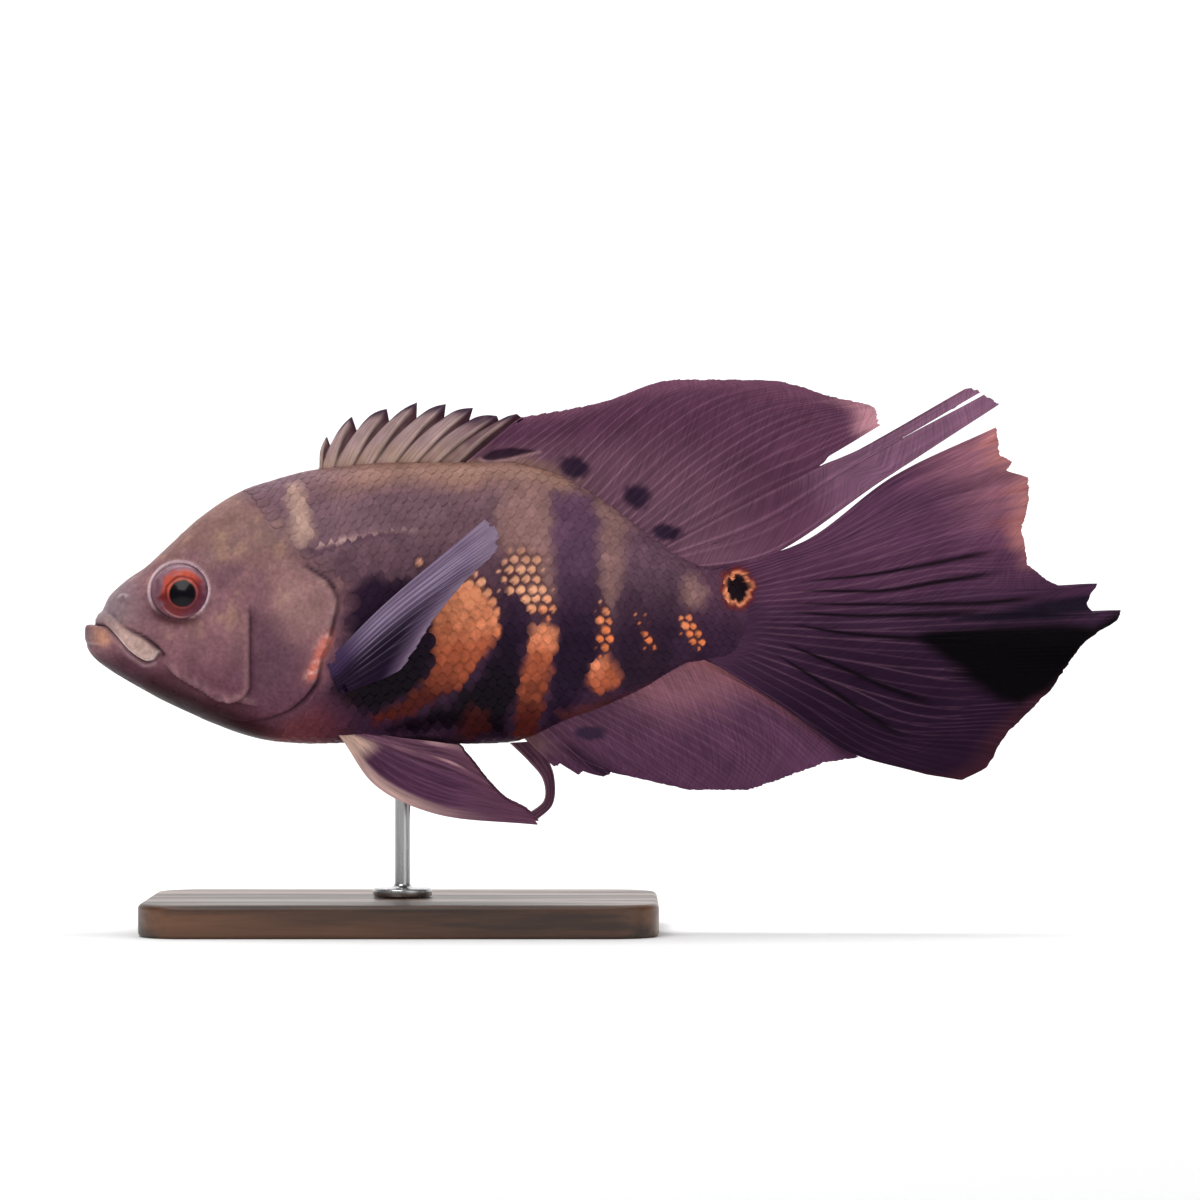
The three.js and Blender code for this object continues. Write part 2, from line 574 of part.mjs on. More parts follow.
const jawOutline = [...MOUTH_LINE, ...JAW_REAR, [-2, 20]];
const gapBelow = MOUTH_LINE.map(([s, h]) => [s, h + CUT]);
const jawClear = block([...gapBelow, ...JAW_REAR.map(([s, h]) => [s + CUT, h]), [-4, 20]], -FAR, FAR);
const headOutline = [...GILL_OPENING, [-6, 15], [-6, 120]];
const headBlock = block(headOutline, -FAR, FAR);
const headClear = block([...GILL_OPENING.map(([s, h]) => [s + CUT, h]), [-6, 10], [-6, 125]], -FAR, FAR);
const tailOutline = [...TAIL_ROOT, [-6, 140], [-6, 0]];
const tailBlock = block(tailOutline, -FAR, FAR);
const tailClear = block([...TAIL_ROOT.map(([s, h]) => [s + CUT, h]), [-6, 145], [-6, -5]], -FAR, FAR);
const before = (s) => block([[-8, -10], [s, -10], [s, 160], [-8, 160]], -FAR, FAR);

function gillCover(side) {
  const raised = track(GILL_COVER_RAISED);
  const rings = 16;
  const shellAt = (lift) =>
    ringed(rings, SIDES, (share, angle) => {
      const s = THREE.MathUtils.lerp(46, 86, Math.min(Math.max(share * rings - 1, 0) / (rings - 2), 1));
      if (share === 0 || share === 1) return place(s, 0, widestAt(s));
      const { middle, high, low, half, full } = section(s, lift(s), UPPER_JAW_TIP);
      const [up, across] = [-Math.cos(angle), Math.sin(angle)];
      const reach = up > 0 ? high - middle : middle - low;
      const power = up > 0 ? full : BELLY_FULLNESS;
      return place(s, half * across, middle + Math.sign(up) * reach * Math.abs(up) ** (2 / power));
    });
  const half = (outline) => (side === LEFT ? block(outline, -FAR, -2) : block(outline, 2, FAR));
  const cover = half(GILL_COVER).intersect(shellAt(raised)).subtract(shellAt(() => -GILL_COVER_DEEP));
  const pocket = half(widened(GILL_COVER, CUT)).subtract(shellAt(() => -GILL_COVER_DEEP - CUT));
  return { cover, pocket };
}

function eye(side, grow) {
  const normal = skinNormal(...EYE_AT, side);
  const geometry = new THREE.SphereGeometry(1, 18, 10);
  geometry.scale(EYE_RADIUS + grow, EYE_DEPTH + grow, EYE_RADIUS + grow);
  geometry.applyQuaternion(new THREE.Quaternion().setFromUnitVectors(new THREE.Vector3(0, side, 0), normal));
  const centre = onSkin(...EYE_AT, side).addScaledVector(normal, EYE_STANDS_OUT - EYE_DEPTH);
  geometry.translate(centre.x, centre.y, centre.z);
  return solid(geometry);
}

function eyeRim(side) {
  const geometry = new THREE.TorusGeometry(RIM_RADIUS, RIM_THICK, 5, 20);
  const position = geometry.getAttribute("position");
  for (let i = 0; i < position.count; i++) {
    const [across, up, out] = [position.getX(i), position.getY(i), position.getZ(i)];
    const p = onSkin(EYE_AT[0] + across, EYE_AT[1] + up, side, out + 0.1);
    position.setXYZ(i, p.x, p.y, p.z);
  }
  return solid(geometry);
}

function nostril(side) {
  const normal = skinNormal(...NOSTRIL_AT, side);
  const geometry = new THREE.CylinderGeometry(NOSTRIL_RADIUS, NOSTRIL_RADIUS * 0.7, 3, 8);
  geometry.applyQuaternion(new THREE.Quaternion().setFromUnitVectors(new THREE.Vector3(0, 1, 0), normal));
  const at = onSkin(...NOSTRIL_AT, side);
  geometry.translate(at.x, at.y, at.z);
  return solid(geometry);
}

function cheekGroove(side) {
  const points = CHEEK_GROOVE.map(([s, h]) => onSkin(s, h, side, 0.15));
  return bar(points, (share) => GROOVE_RADIUS * Math.sin(Math.PI * share) ** 0.4, 10, 5);
}

const covers = { left: gillCover(LEFT), right: gillCover(RIGHT) };
const eyesClear = eye(LEFT, CUT).add(eye(RIGHT, CUT));
const pockets = covers.left.pocket.add(covers.right.pocket);

const head = skin
  .add(eyeRim(LEFT))
  .add(eyeRim(RIGHT))
  .add(lip(UPPER_LIP, (share) => UPPER_LIP_RADIUS * Math.sin(Math.PI * share) ** 0.25, UPPER_JAW_TIP))
  .intersect(headBlock)
  .subtract(jawClear)
  .subtract(eyesClear)
  .subtract(pockets)
  .subtract(nostril(LEFT))
  .subtract(nostril(RIGHT))
  .subtract(cheekGroove(LEFT))
  .subtract(cheekGroove(RIGHT));

const jawBlock = block(jawOutline, -FAR, FAR);
const lowerJaw = jawSkin
  .add(lip(LOWER_LIP, track(LOWER_LIP_RADIUS), 0))
  .intersect(jawBlock)
  .intersect(before(40));

const behindHead = skin.subtract(headClear).subtract(pockets);
const trunkFront = behindHead.intersect(before(SHOULDER_CUT));
const trunkRear = behindHead.subtract(before(SHOULDER_CUT + CUT)).intersect(before(STALK_CUT));
const tailStalk = behindHead.subtract(before(STALK_CUT + CUT)).intersect(tailBlock);

// Paired fins stand out from the body to their own side.
function pelvicFin(side) {
  const lean = side === LEFT ? 1 : 0.93;
  return fin({
    ...PELVIC,
    sway: (u, v) => {
      const out = THREE.MathUtils.lerp(PELVIC_ROOT_OUT, PELVIC_TIP_OUT * lean, v);
      return side * (out - 5.5 * u * v + u * 0.5);
    },
  });
}

function pectoralFin(side) {
  return fin({
    ...PECTORAL,
    sway: (u, v) => {
      const root = sideAt(78.5, 48) - 0.6;
      const pleat = 0.45 * Math.sin(u * 9 * Math.PI) * v;
      return side * (root + PECTORAL_TIP_OUT * v ** 0.85 * (1 - 0.3 * u) + pleat);
    },
  });
}

const caudal = fin({ ...CAUDAL, sink: 1 })
  .subtract(skinClear.intersect(tailClear))
  .subtract(tailClear.intersect(before(190)));
const streamerGap = block([[130, -4], [138.2 + CUT, -4], [138.2 + CUT, 4], [130, 4]], -FAR, FAR);

// Stand: a plain wooden base with a steel rod that rises between the pelvic fins to the belly
const STAND_X = SNOUT_X + 97;
const BASE_LENGTH = 156;
const BASE_WIDTH = 90;
const BASE_THICK = 10;
const BASE_CORNER = 14;
const BASE_BEVEL = 1.6;
const ROD_RADIUS = 2.4;
const FOOT_RADIUS = 9;
const FOOT_THICK = 2.6;

function standBase() {
  const [x, y, r] = [BASE_LENGTH / 2 - BASE_BEVEL, BASE_WIDTH / 2 - BASE_BEVEL, BASE_CORNER - BASE_BEVEL];
  const shape = new THREE.Shape();
  shape.moveTo(-x + r, -y);
  shape.lineTo(x - r, -y);
  shape.absarc(x - r, -y + r, r, -Math.PI / 2, 0);
  shape.lineTo(x, y - r);
  shape.absarc(x - r, y - r, r, 0, Math.PI / 2);
  shape.lineTo(-x + r, y);
  shape.absarc(-x + r, y - r, r, Math.PI / 2, Math.PI);
  shape.lineTo(-x, -y + r);
  shape.absarc(-x + r, -y + r, r, Math.PI, 1.5 * Math.PI);
  const geometry = new THREE.ExtrudeGeometry(shape, {
    depth: BASE_THICK - 2 * BASE_BEVEL,
    bevelThickness: BASE_BEVEL,
    bevelSize: BASE_BEVEL,
    bevelSegments: 2,
    curveSegments: 6,
  });
  geometry.translate(STAND_X, 0, BASE_BEVEL);
  return solid(geometry);
}

function standRod() {
  const foot = BASE_THICK + CUT;
  const top = LOWEST_Z + belly(97) + 6;
  const profile = [
    [0, foot], [FOOT_RADIUS, foot], [FOOT_RADIUS, foot + FOOT_THICK - 0.8],
    [FOOT_RADIUS - 0.8, foot + FOOT_THICK], [ROD_RADIUS + 1.6, foot + FOOT_THICK],
    [ROD_RADIUS, foot + FOOT_THICK + 1.6], [ROD_RADIUS, top], [0, top],
  ];
  const geometry = new THREE.LatheGeometry(profile.map(([r, z]) => new THREE.Vector2(r, z)), 20);
  geometry.rotateX(Math.PI / 2);
  geometry.translate(STAND_X, 0, 0);
  return solid(geometry).subtract(skinClear);
}

const part = new THREE.Group();
part.add(
  meshOf("head", head, LOOK.head),
  meshOf("lower_jaw", lowerJaw, LOOK.head),
  meshOf("gill_cover_left", covers.left.cover, LOOK.cover),
  meshOf("gill_cover_right", covers.right.cover, LOOK.cover),
  meshOf("eye_left", eye(LEFT, 0), LOOK.eye),
  meshOf("eye_right", eye(RIGHT, 0), LOOK.eye),
  meshOf("trunk_front", trunkFront, LOOK.flank),
  meshOf("trunk_rear", trunkRear, LOOK.flank),
  meshOf("tail_stalk", tailStalk, LOOK.flank),
  meshOf("dorsal_fin_spiny", spinyDorsal().subtract(skinClear), LOOK.spines),
  meshOf("dorsal_fin_soft", fin(DORSAL_SOFT).subtract(skinClear), LOOK.fin),
  meshOf("caudal_fin", caudal, LOOK.fin),
  meshOf("anal_fin", fin(ANAL).subtract(skinClear), LOOK.fin),
  meshOf("pelvic_fin_left", pelvicFin(LEFT).subtract(skinClear), LOOK.fin),
  meshOf("pelvic_fin_right", pelvicFin(RIGHT).subtract(skinClear), LOOK.fin),
  meshOf("pelvic_streamer_right", streamer().subtract(streamerGap).subtract(skinClear), LOOK.fin),
  meshOf("pectoral_fin_left", pectoralFin(LEFT).subtract(skinClear), LOOK.pectoral),
  meshOf("pectoral_fin_right", pectoralFin(RIGHT).subtract(skinClear), LOOK.pectoral),
  meshOf("stand_base", standBase(), LOOK.wood),
  meshOf("stand_rod", standRod(), LOOK.steel),
);

export default part;
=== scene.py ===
"""A long-finned oscar, life-size, on its stand: skin, scales, fins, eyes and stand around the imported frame.

Shapes are worked out in millimetres and turned into metres where a mesh is made. Seen from the left side, s
runs back from the snout and h up from the pelvic fins' lowest point. The left side faces -Y, where the
camera stands.
"""

import itertools
import json
import math

import bpy
import numpy as np
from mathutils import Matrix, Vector

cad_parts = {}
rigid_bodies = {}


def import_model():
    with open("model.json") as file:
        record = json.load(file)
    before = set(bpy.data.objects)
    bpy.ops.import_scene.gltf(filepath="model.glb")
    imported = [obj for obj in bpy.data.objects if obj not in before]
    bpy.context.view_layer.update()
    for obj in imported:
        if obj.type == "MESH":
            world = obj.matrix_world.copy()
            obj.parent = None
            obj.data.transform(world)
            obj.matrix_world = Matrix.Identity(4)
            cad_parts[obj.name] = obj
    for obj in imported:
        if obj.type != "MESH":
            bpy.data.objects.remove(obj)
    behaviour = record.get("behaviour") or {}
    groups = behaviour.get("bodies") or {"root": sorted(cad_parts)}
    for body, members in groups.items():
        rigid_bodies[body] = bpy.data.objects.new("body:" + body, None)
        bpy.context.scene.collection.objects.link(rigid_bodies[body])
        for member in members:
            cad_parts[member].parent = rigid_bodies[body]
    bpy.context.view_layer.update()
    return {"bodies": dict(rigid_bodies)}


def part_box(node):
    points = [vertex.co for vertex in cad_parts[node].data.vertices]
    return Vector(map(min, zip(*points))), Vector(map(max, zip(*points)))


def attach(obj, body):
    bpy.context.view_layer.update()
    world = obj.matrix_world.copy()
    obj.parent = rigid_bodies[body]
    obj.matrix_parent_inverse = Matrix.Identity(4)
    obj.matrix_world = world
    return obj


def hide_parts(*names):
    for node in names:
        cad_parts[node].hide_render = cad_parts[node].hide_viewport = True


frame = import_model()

(BODY,) = frame["bodies"]

# Where the fish is in the frame
MM = 0.001
JAW_AHEAD = 0.3
SNOUT_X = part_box("lower_jaw")[0].x / MM + JAW_AHEAD
LOWEST_Z = 32.0
BODY_LENGTH = 200.0

# Outlines of the flesh, as in the frame
BACK = [
    (2.9, 62.3), (7.6, 70.1), (12.2, 74.5), (19.2, 79.4), (26, 85.5), (35.1, 93.9), (44.3, 100.2),
    (56.5, 105.2), (71.8, 108.7), (96.2, 110.8), (126.7, 110.9), (140.5, 108.4), (154.2, 102), (169.5, 91),
    (181.7, 82.1), (190, 79), (206, 79),
]
BELLY = [
    (0, 58), (0.9, 54), (3.1, 51), (7.6, 47.6), (12.2, 44.6), (21.4, 39.2), (30.5, 34.8), (39.7, 30.8),
    (48.9, 27.5), (58, 25.6), (71.8, 24.9), (117.6, 24.8), (129.8, 25.3), (135.9, 26.8), (145, 31.1),
    (157.3, 35.7), (169.5, 41.2), (178.6, 46.7), (184.7, 49.6), (193.9, 50.2), (206, 49),
]
WIDEST_AT = [
    (0, 58.5), (3, 60.5), (20, 57.5), (45, 56.5), (60, 58), (96, 64), (140, 69), (175, 66.5), (206, 64),
]
HALF_WIDTH = [
    (0, 11.4), (8, 12.4), (20, 14.8), (35, 17.2), (50, 18.9), (65, 19.8), (80, 19.9), (100, 19.3),
    (120, 17.6), (140, 14.9), (160, 11.3), (180, 7.4), (193, 4.6), (206, 2),
]
SNOUT_ROUND = 12.5
BACK_FULLNESS = [(0, 2.5), (40, 2.2), (100, 1.9), (206, 2)]
BELLY_FULLNESS = 2.3
UPPER_JAW_TIP = 2.9
TAIL_END = (193.5, 204.0)  # where the flesh starts to round off, and ends, inside the tail fin's root


# Numbers along lines
def track(pairs):
    """A smooth value along x through (x, value) pairs, never overshooting. Values may be rows of numbers."""
    x = np.array([p[0] for p in pairs], float)
    y = np.array([p[1] for p in pairs], float)
    step = np.diff(x).reshape((-1,) + (1,) * (y.ndim - 1))
    slope = np.diff(y, axis=0) / step
    a, b = slope[:-1], slope[1:]
    same_way = a * b > 0
    middle = np.where(same_way, 2 * a * b / np.where(same_way, a + b, 1), 0)
    tangent = np.concatenate([slope[:1], middle, slope[-1:]])

    def at(q):
        q = np.clip(np.asarray(q, float), x[0], x[-1])
        i = np.clip(np.searchsorted(x, q, side="right") - 1, 0, len(x) - 2)
        width = x[i + 1] - x[i]
        t = (q - x[i]) / width
        for _ in range(y.ndim - 1):
            t, width = t[..., None], width[..., None]
        ends = y[i] * (1 + 2 * t) * (1 - t) ** 2 + y[i + 1] * t * t * (3 - 2 * t)
        return ends + width * t * (1 - t) * (tangent[i] * (1 - t) - tangent[i + 1] * t)

    return at


def rise(low, high, x):
    t = np.clip((np.asarray(x, float) - low) / (high - low), 0, 1)
    return t * t * (3 - 2 * t)


def bump(x, width):
    return np.exp(-((x / width) ** 2))


def noise(points, lump, seed=0):
    """Smooth noise from -1 to 1 at points in millimetres, with lumps about that wide."""
    p = np.asarray(points, float) / lump + 31.7 * (seed + 1)
    cell = np.floor(p).astype(np.int64)
    part = p - cell
    part = part * part * (3 - 2 * part)
    total = np.zeros(p.shape[:-1])
    for corner in itertools.product((0, 1), repeat=3):
        key = (cell + corner) * np.array([73856093, 19349663, 83492791])
        key = key[..., 0] ^ key[..., 1] ^ key[..., 2]
        key = (key ^ (key >> 13)) * 1274126177 & 0x7FFFFFFF
        value = (key >> 7 & 0xFFFF) / 32767.5 - 1
        total += value * np.prod(np.where(corner, part, 1 - part), axis=-1)
    return total


def side_noise(s, h, lump, seed=0):
    """Noise that is the same through the whole width."""
    return noise(np.stack(np.broadcast_arrays(s, 0.0, h), -1), lump, seed)


def smooth_line(line, step=0.8):
    line = np.array(line, float)
    length = np.r_[0, np.cumsum(np.linalg.norm(np.diff(line, axis=0), axis=1))]
    return track(list(zip(length, line)))(np.linspace(0, length[-1], max(3, int(length[-1] / step))))


def near(line, s, h):
    """Distance to a line, the share along it of its nearest point, and +1 to its left or -1 to its right."""
    best = np.full(np.shape(s), 1e9)
    share, side = np.zeros(best.shape), np.ones(best.shape)
    count = len(line) - 1
    for k, ((s0, h0), (s1, h1)) in enumerate(zip(line[:-1], line[1:])):
        ds, dh = s1 - s0, h1 - h0
        t = np.clip(((s - s0) * ds + (h - h0) * dh) / (ds * ds + dh * dh), 0, 1)
        off_s, off_h = s - s0 - t * ds, h - h0 - t * dh
        gap = off_s**2 + off_h**2
        closer = gap < best
        best = np.where(closer, gap, best)
        share = np.where(closer, (k + t) / count, share)
        side = np.where(closer, np.where(ds * off_h - dh * off_s >= 0, 1, -1), side)
    return np.sqrt(best), share, side


def near_curve(points, s, h, step=0.8):
    """As near, for a smooth curve through the points."""
    return near(smooth_line(points, step), s, h)


def left_of(points, s, h, step=2):
    """Distance to a smooth curve, positive to its left."""
    gap, _, side = near_curve(points, s, h, step)
    return gap * side


def inside(outline, s, h):
    """Distance to a closed outline, positive inside it."""
    ring = np.array([*outline, outline[0]], float)
    gap, _, _ = near(ring, s, h)
    crossings = np.zeros(np.shape(s), int)
    for (s0, h0), (s1, h1) in zip(ring[:-1], ring[1:]):
        if h0 == h1:
            continue
        spans = (h >= min(h0, h1)) & (h < max(h0, h1))
        crossings += spans & (s < s0 + (h - h0) * (s1 - s0) / (h1 - h0))
    return np.where(crossings % 2, gap, -gap)


def colour(red, green, blue):
    """A colour as the eye reads it, 0 to 255, as linear light."""
    c = np.array([red, green, blue], float) / 255
    return np.where(c <= 0.04045, c / 12.92, ((c + 0.055) / 1.055) ** 2.4)


def mix(a, b, share):
    return a + (b - a) * np.asarray(share)[..., None]


def layered(tone, layers):
    """A colour under further layers, each given as the eye reads it and with the share that it covers."""
    for seen, cover in layers:
        tone = mix(tone, colour(*seen), cover)
    return tone


# Meshes and materials
BAKE_FROM, BAKE_SPAN = 0.01, 0.98  # where the skin's shape lies on the bake map
BAKE_LENGTH, BAKE_ROUND = 210.0, 260.0


def place(s, y, h):
    return np.stack(np.broadcast_arrays(SNOUT_X + s, y, LOWEST_Z + h), axis=-1) * MM


def make_piece(name, vertices, faces, material, replaces=(), paint=None, numbers=None, uv=None):
    """A smooth-shaded mesh piece with its colours, its own numbers for the material, and its bake map."""
    mesh = bpy.data.meshes.new(name)
    corners = len(faces[0])
    mesh.vertices.add(len(vertices))
    mesh.vertices.foreach_set("co", np.asarray(vertices, np.float32).ravel())
    mesh.loops.add(len(faces) * corners)
    mesh.loops.foreach_set("vertex_index", np.asarray(faces, np.int32).ravel())
    mesh.polygons.add(len(faces))
    mesh.polygons.foreach_set("loop_start", np.arange(0, len(faces) * corners, corners, dtype=np.int32))
    mesh.update(calc_edges=True)
    mesh.validate()
    mesh.shade_smooth()
    if paint is not None:
        layer = mesh.color_attributes.new("paint", "FLOAT_COLOR", "POINT")
        layer.data.foreach_set("color", np.c_[paint, np.ones(len(paint))].astype(np.float32).ravel())
    for key, values in (numbers or {}).items():
        mesh.attributes.new(key, "FLOAT", "POINT").data.foreach_set(
            "value", values.astype(np.float32).ravel()
        )
    if uv is not None:
        index = np.empty(len(mesh.loops), np.int32)
        mesh.loops.foreach_get("vertex_index", index)
        at = uv[index].reshape(-1, corners, 2)
        over_seam = (np.ptp(at[..., 1], axis=1) > 0.5)[:, None] & (at[..., 1] < 0.4)
        at[..., 1] += BAKE_SPAN * over_seam
        mesh.uv_layers.new(name="OFBake").data.foreach_set("uv", at.astype(np.float32).ravel())
    piece = bpy.data.objects.new(name, mesh)
    bpy.context.collection.objects.link(piece)
    mesh.materials.append(material)
    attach(piece, BODY)
    if replaces:
        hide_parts(*replaces)
    return piece


def capped_faces(rings, sides, flip=False):
    """Triangles of a closed body of rings. The two points after the rings close its ends."""
    ring = np.arange(sides)
    after, last = (ring + 1) % sides, (rings - 1) * sides
    start = sides * np.arange(rings - 1)[:, None]
    corners = (start + ring, start + after, start + sides + after, start + sides + ring)
    grid = np.stack(corners, -1).reshape(-1, 4)
    near_cap = np.stack([after, ring, ring * 0 + rings * sides], -1)
    far_cap = np.stack([last + ring, last + after, ring * 0 + rings * sides + 1], -1)
    triangles = np.r_[grid[:, [0, 1, 2]], grid[:, [0, 2, 3]], near_cap, far_cap]
    return triangles[:, ::-1] if flip else triangles


def sheet_faces(kept):
    """Faces of a closed sheet of two grids of points, one for each side, over the cells that are kept."""
    columns, rows = kept.shape[0] + 1, kept.shape[1] + 1
    index = np.arange(columns * rows).reshape(columns, rows)
    far = columns * rows
    a, b, c, d = index[:-1, :-1], index[1:, :-1], index[1:, 1:], index[:-1, 1:]
    faces = [np.stack([a, b, c, d], -1)[kept], np.stack([a, d, c, b], -1)[kept] + far]
    there = np.pad(kept, 1)
    for p, q, beyond in (
        (a, b, there[1:-1, :-2]), (b, c, there[2:, 1:-1]), (c, d, there[1:-1, 2:]), (d, a, there[:-2, 1:-1])
    ):
        edge = kept & ~beyond
        faces.append(np.stack([p + far, q + far, q, p], -1)[edge])
    return np.concatenate(faces)


class Nodes:
    """A material's nodes, joined as they are made."""

    def __init__(self, name):
        self.material = bpy.data.materials.new(name)
        self.material.use_nodes = True
        self.tree = self.material.node_tree
        self.shader = self.tree.nodes["Principled BSDF"]

    def add(self, kind, values=None, **settings):
        node = self.tree.nodes.new("ShaderNode" + kind)
        for key, value in settings.items():
            setattr(node, key, value)
        for key, value in (values or {}).items():
            self.put(node.inputs[key], value)
        return node

    def put(self, socket, value):
        if isinstance(value, bpy.types.NodeSocket):
            self.tree.links.new(value, socket)
        else:
            socket.default_value = value

    def set(self, **values):
        for key, value in values.items():
            self.put(self.shader.inputs[key.replace("_", " ")], value)

    def number(self, name):
        return self.add("Attribute", attribute_name=name).outputs["Fac"]

    def math(self, operation, a, b=0.0):
        node = self.add("Math", operation=operation)
        self.put(node.inputs[0], a)
        self.put(node.inputs[1], b)
        return node.outputs[0]

    def spread(self, value, low, high, to_low, to_high):
        """A value mapped from one range to another, clamped."""
        node = self.add(
            "MapRange",
            {"Value": value, "From Min": low, "From Max": high, "To Min": to_low, "To Max": to_high},
        )
        return node.outputs[0]

    def noise(self, scale, detail=3.0, vector=None, rough=0.5):
        node = self.add("TexNoise", {"Scale": scale, "Detail": detail, "Roughness": rough})
        self.put(node.inputs["Vector"], vector or self.add("TexCoord").outputs["Object"])
        return node.outputs["Fac"]

    def stretched(self, *scale):
        """The object's coordinates, scaled along each axis."""
        where = self.add("TexCoord").outputs["Object"]
        return self.add("Mapping", {"Vector": where, "Scale": scale}).outputs[0]

    def tint(self, colour_socket, factor):
        """A colour made darker or lighter by a number about 1."""
        node = self.add("VectorMath", operation="SCALE")
        self.put(node.inputs[0], colour_socket)
        self.put(node.inputs["Scale"], factor)
        return node.outputs[0]

    def bump(self, height, distance, strength=1.0, below=None):
        node = self.add("Bump", {"Height": height, "Distance": distance, "Strength": strength})
        if below is not None:
            self.put(node.inputs["Normal"], below)
        return node.outputs["Normal"]


# The flesh as a grid of rings round the body
back, belly, widest_at = track(BACK), track(BELLY), track(WIDEST_AT)
half_width, back_fullness = track(HALF_WIDTH), track(BACK_FULLNESS)
SIDES = 276
CAP_RINGS = 48
HEAD_STEP, BODY_STEP = 0.44, 0.86
HEAD_REAR = 82.0
stations = np.concatenate([
    SNOUT_ROUND * (1 - np.cos(np.linspace(0, np.pi / 2, CAP_RINGS))),
    np.arange(SNOUT_ROUND + HEAD_STEP, HEAD_REAR, HEAD_STEP),
    np.arange(HEAD_REAR, TAIL_END[0], BODY_STEP),
    TAIL_END[0] + (TAIL_END[1] - TAIL_END[0]) * np.sin(np.linspace(0, 1.5, 22)),
])
stations[0] = 0.004


def flesh_grid(s0, angle):
    """Points of the flesh without relief: s0 along the body, an angle from the belly up the left side."""
    s0, angle = np.broadcast_arrays(s0, angle)
    ahead = np.clip(s0 / SNOUT_ROUND, 0, 1)
    round_off = np.sqrt(1 - (1 - ahead) ** 2)
    opening = np.minimum(1, round_off * 1.15)
    set_back = UPPER_JAW_TIP * np.clip(1 - s0 / 16, 0, 1) ** 2
    middle = widest_at(s0)
    high = middle + (back(s0 + set_back) - middle) * opening
    low = belly(s0)
    closing = np.sqrt(
        np.clip(1 - (np.clip(s0 - TAIL_END[0], 0, None) / (TAIL_END[1] - TAIL_END[0])) ** 2, 0, 1)
    )
    high = middle + (high - middle) * closing
    low = middle + (low - middle) * closing
    half = half_width(s0) * round_off * closing**0.7
    up = -np.cos(angle)
    power = np.where(up > 0, back_fullness(s0), BELLY_FULLNESS)
    reach = np.where(up > 0, high - middle, middle - low)
    h = middle + np.sign(up) * reach * np.abs(up) ** (2 / power)
    s = s0 + set_back * rise(60.4, 63.2, h)
    return s, -half * np.sin(angle), h


def side_at(s, h):
    """Half the width of the flesh at a point seen from the side, clear of the snout."""
    middle = widest_at(s)
    up = h > middle
    share = np.clip(
        np.where(up, (h - middle) / (back(s) - middle), (middle - h) / (middle - belly(s))), 0, 1
    )
    power = np.where(up, back_fullness(s), BELLY_FULLNESS)
    ahead = np.clip((s - UPPER_JAW_TIP) / SNOUT_ROUND, 0, 1)
    return half_width(s) * np.sqrt(1 - (1 - ahead) ** 2) * np.sqrt(np.clip(1 - share**power, 0, 1))


# Lines and patches of the head
MOUTH = [
    (-3, 61.9), (3.1, 61.7), (6.4, 61.1), (9.2, 58.9), (11.3, 56.5), (14, 53.4), (17.1, 51), (19.8, 49.8),
    (22.3, 50.4), (23.8, 52.5),
]
MAXILLA_TOP = [(7, 65.3), (10.1, 63.5), (13.4, 60.5), (18.9, 57.7), (23.8, 54), (25.3, 52.2)]
LOWER_LIP = [(-1, 56), (2.7, 54.9), (5.8, 54.7), (8.9, 55.6), (11, 55)]
CHEEK_EDGE = [(24.1, 51.3), (28.4, 46.1), (36.6, 41.2), (41.8, 38.2), (50.4, 37.3)]
CHEEK_REAR = [
    (51.3, 66.5), (51.6, 61), (51.6, 52), (51.6, 42.7), (50.4, 40), (47.9, 38.2), (44.3, 37.3),
    (39.4, 37.9),
]
OPERCLE = [
    (45, 40), (41.8, 33.9), (48.9, 32.1), (56.5, 32.7), (63.5, 35.4), (68.1, 39.1), (72.1, 44.9),
    (73.3, 51.6), (75.1, 55), (76.9, 62), (78.2, 68.1), (77.3, 71.1), (75.1, 74.8), (72.4, 76.6),
    (69.3, 78.5), (64, 80), (58, 79), (53, 74), (50, 60),
]
GILL_LINE = OPERCLE[1:16]
JAW_LINE = [(18, 46), (24, 44.5), (36, 38.5), (48, 33.5), (60, 30)]
JAW_SEAM = [(9, 58.2), (11.3, 55.6), (14, 52.5), (17.1, 50.1), (19.8, 48.9), (22.6, 49.6)]
COVER_TOP = [(69.3, 78.5), (72.4, 76.6), (75.1, 74.8), (76.9, 72.4)]
COVER_SHADE = [(52, 66), (60, 62), (66, 52), (64, 42), (54, 38), (51.6, 50)]
UPPER_JAW = [*MOUTH[1:], *MAXILLA_TOP[::-1], (1.5, 65.4)]
LIP = [(-3, 62), (3.1, 61.7), (9.2, 58.9), (11, 55.6), *LOWER_LIP[::-1][1:]]
LATERAL_LINE = [
    (70.5, 84.3), (74.8, 85.5), (79.4, 86.7), (84, 87.9), (91, 89.2), (97.7, 89.5), (105.3, 89.2),
    (116.3, 88.9),
]
EYE = (29.9, 71.5)
EYE_RADIUS, EYE_DEPTH, EYE_STANDS_OUT = 9.5, 5.0, 2.9
EYE_FLAT = 0.94  # height of the eye's opening over its width
RIM_AT = 9.0
BROW_BEYOND = 2.7  # from the rim to the ridge above the eye
NOSTRIL = (12.5, 69.5)
PORE_ROWS = (
    [(18, 81), (25, 87), (34, 91), (43, 92)],
    [(12, 62.5), (20, 60.2), (29, 58.2), (38, 59.4), (45, 64)],
    [(22, 44), (32, 39.6), (43, 36), (53, 34)],
    [(54.2, 64), (54.2, 54), (53.8, 44)],
)
PORE_EVERY = 34
SCALES_FROM = [
    (44, 106), (50, 100), (58, 92), (66, 84), (72, 79), (79.5, 73), (80.5, 66), (79.5, 60), (77.5, 52),
    (74, 42), (69, 36), (62, 30), (56, 24),
]


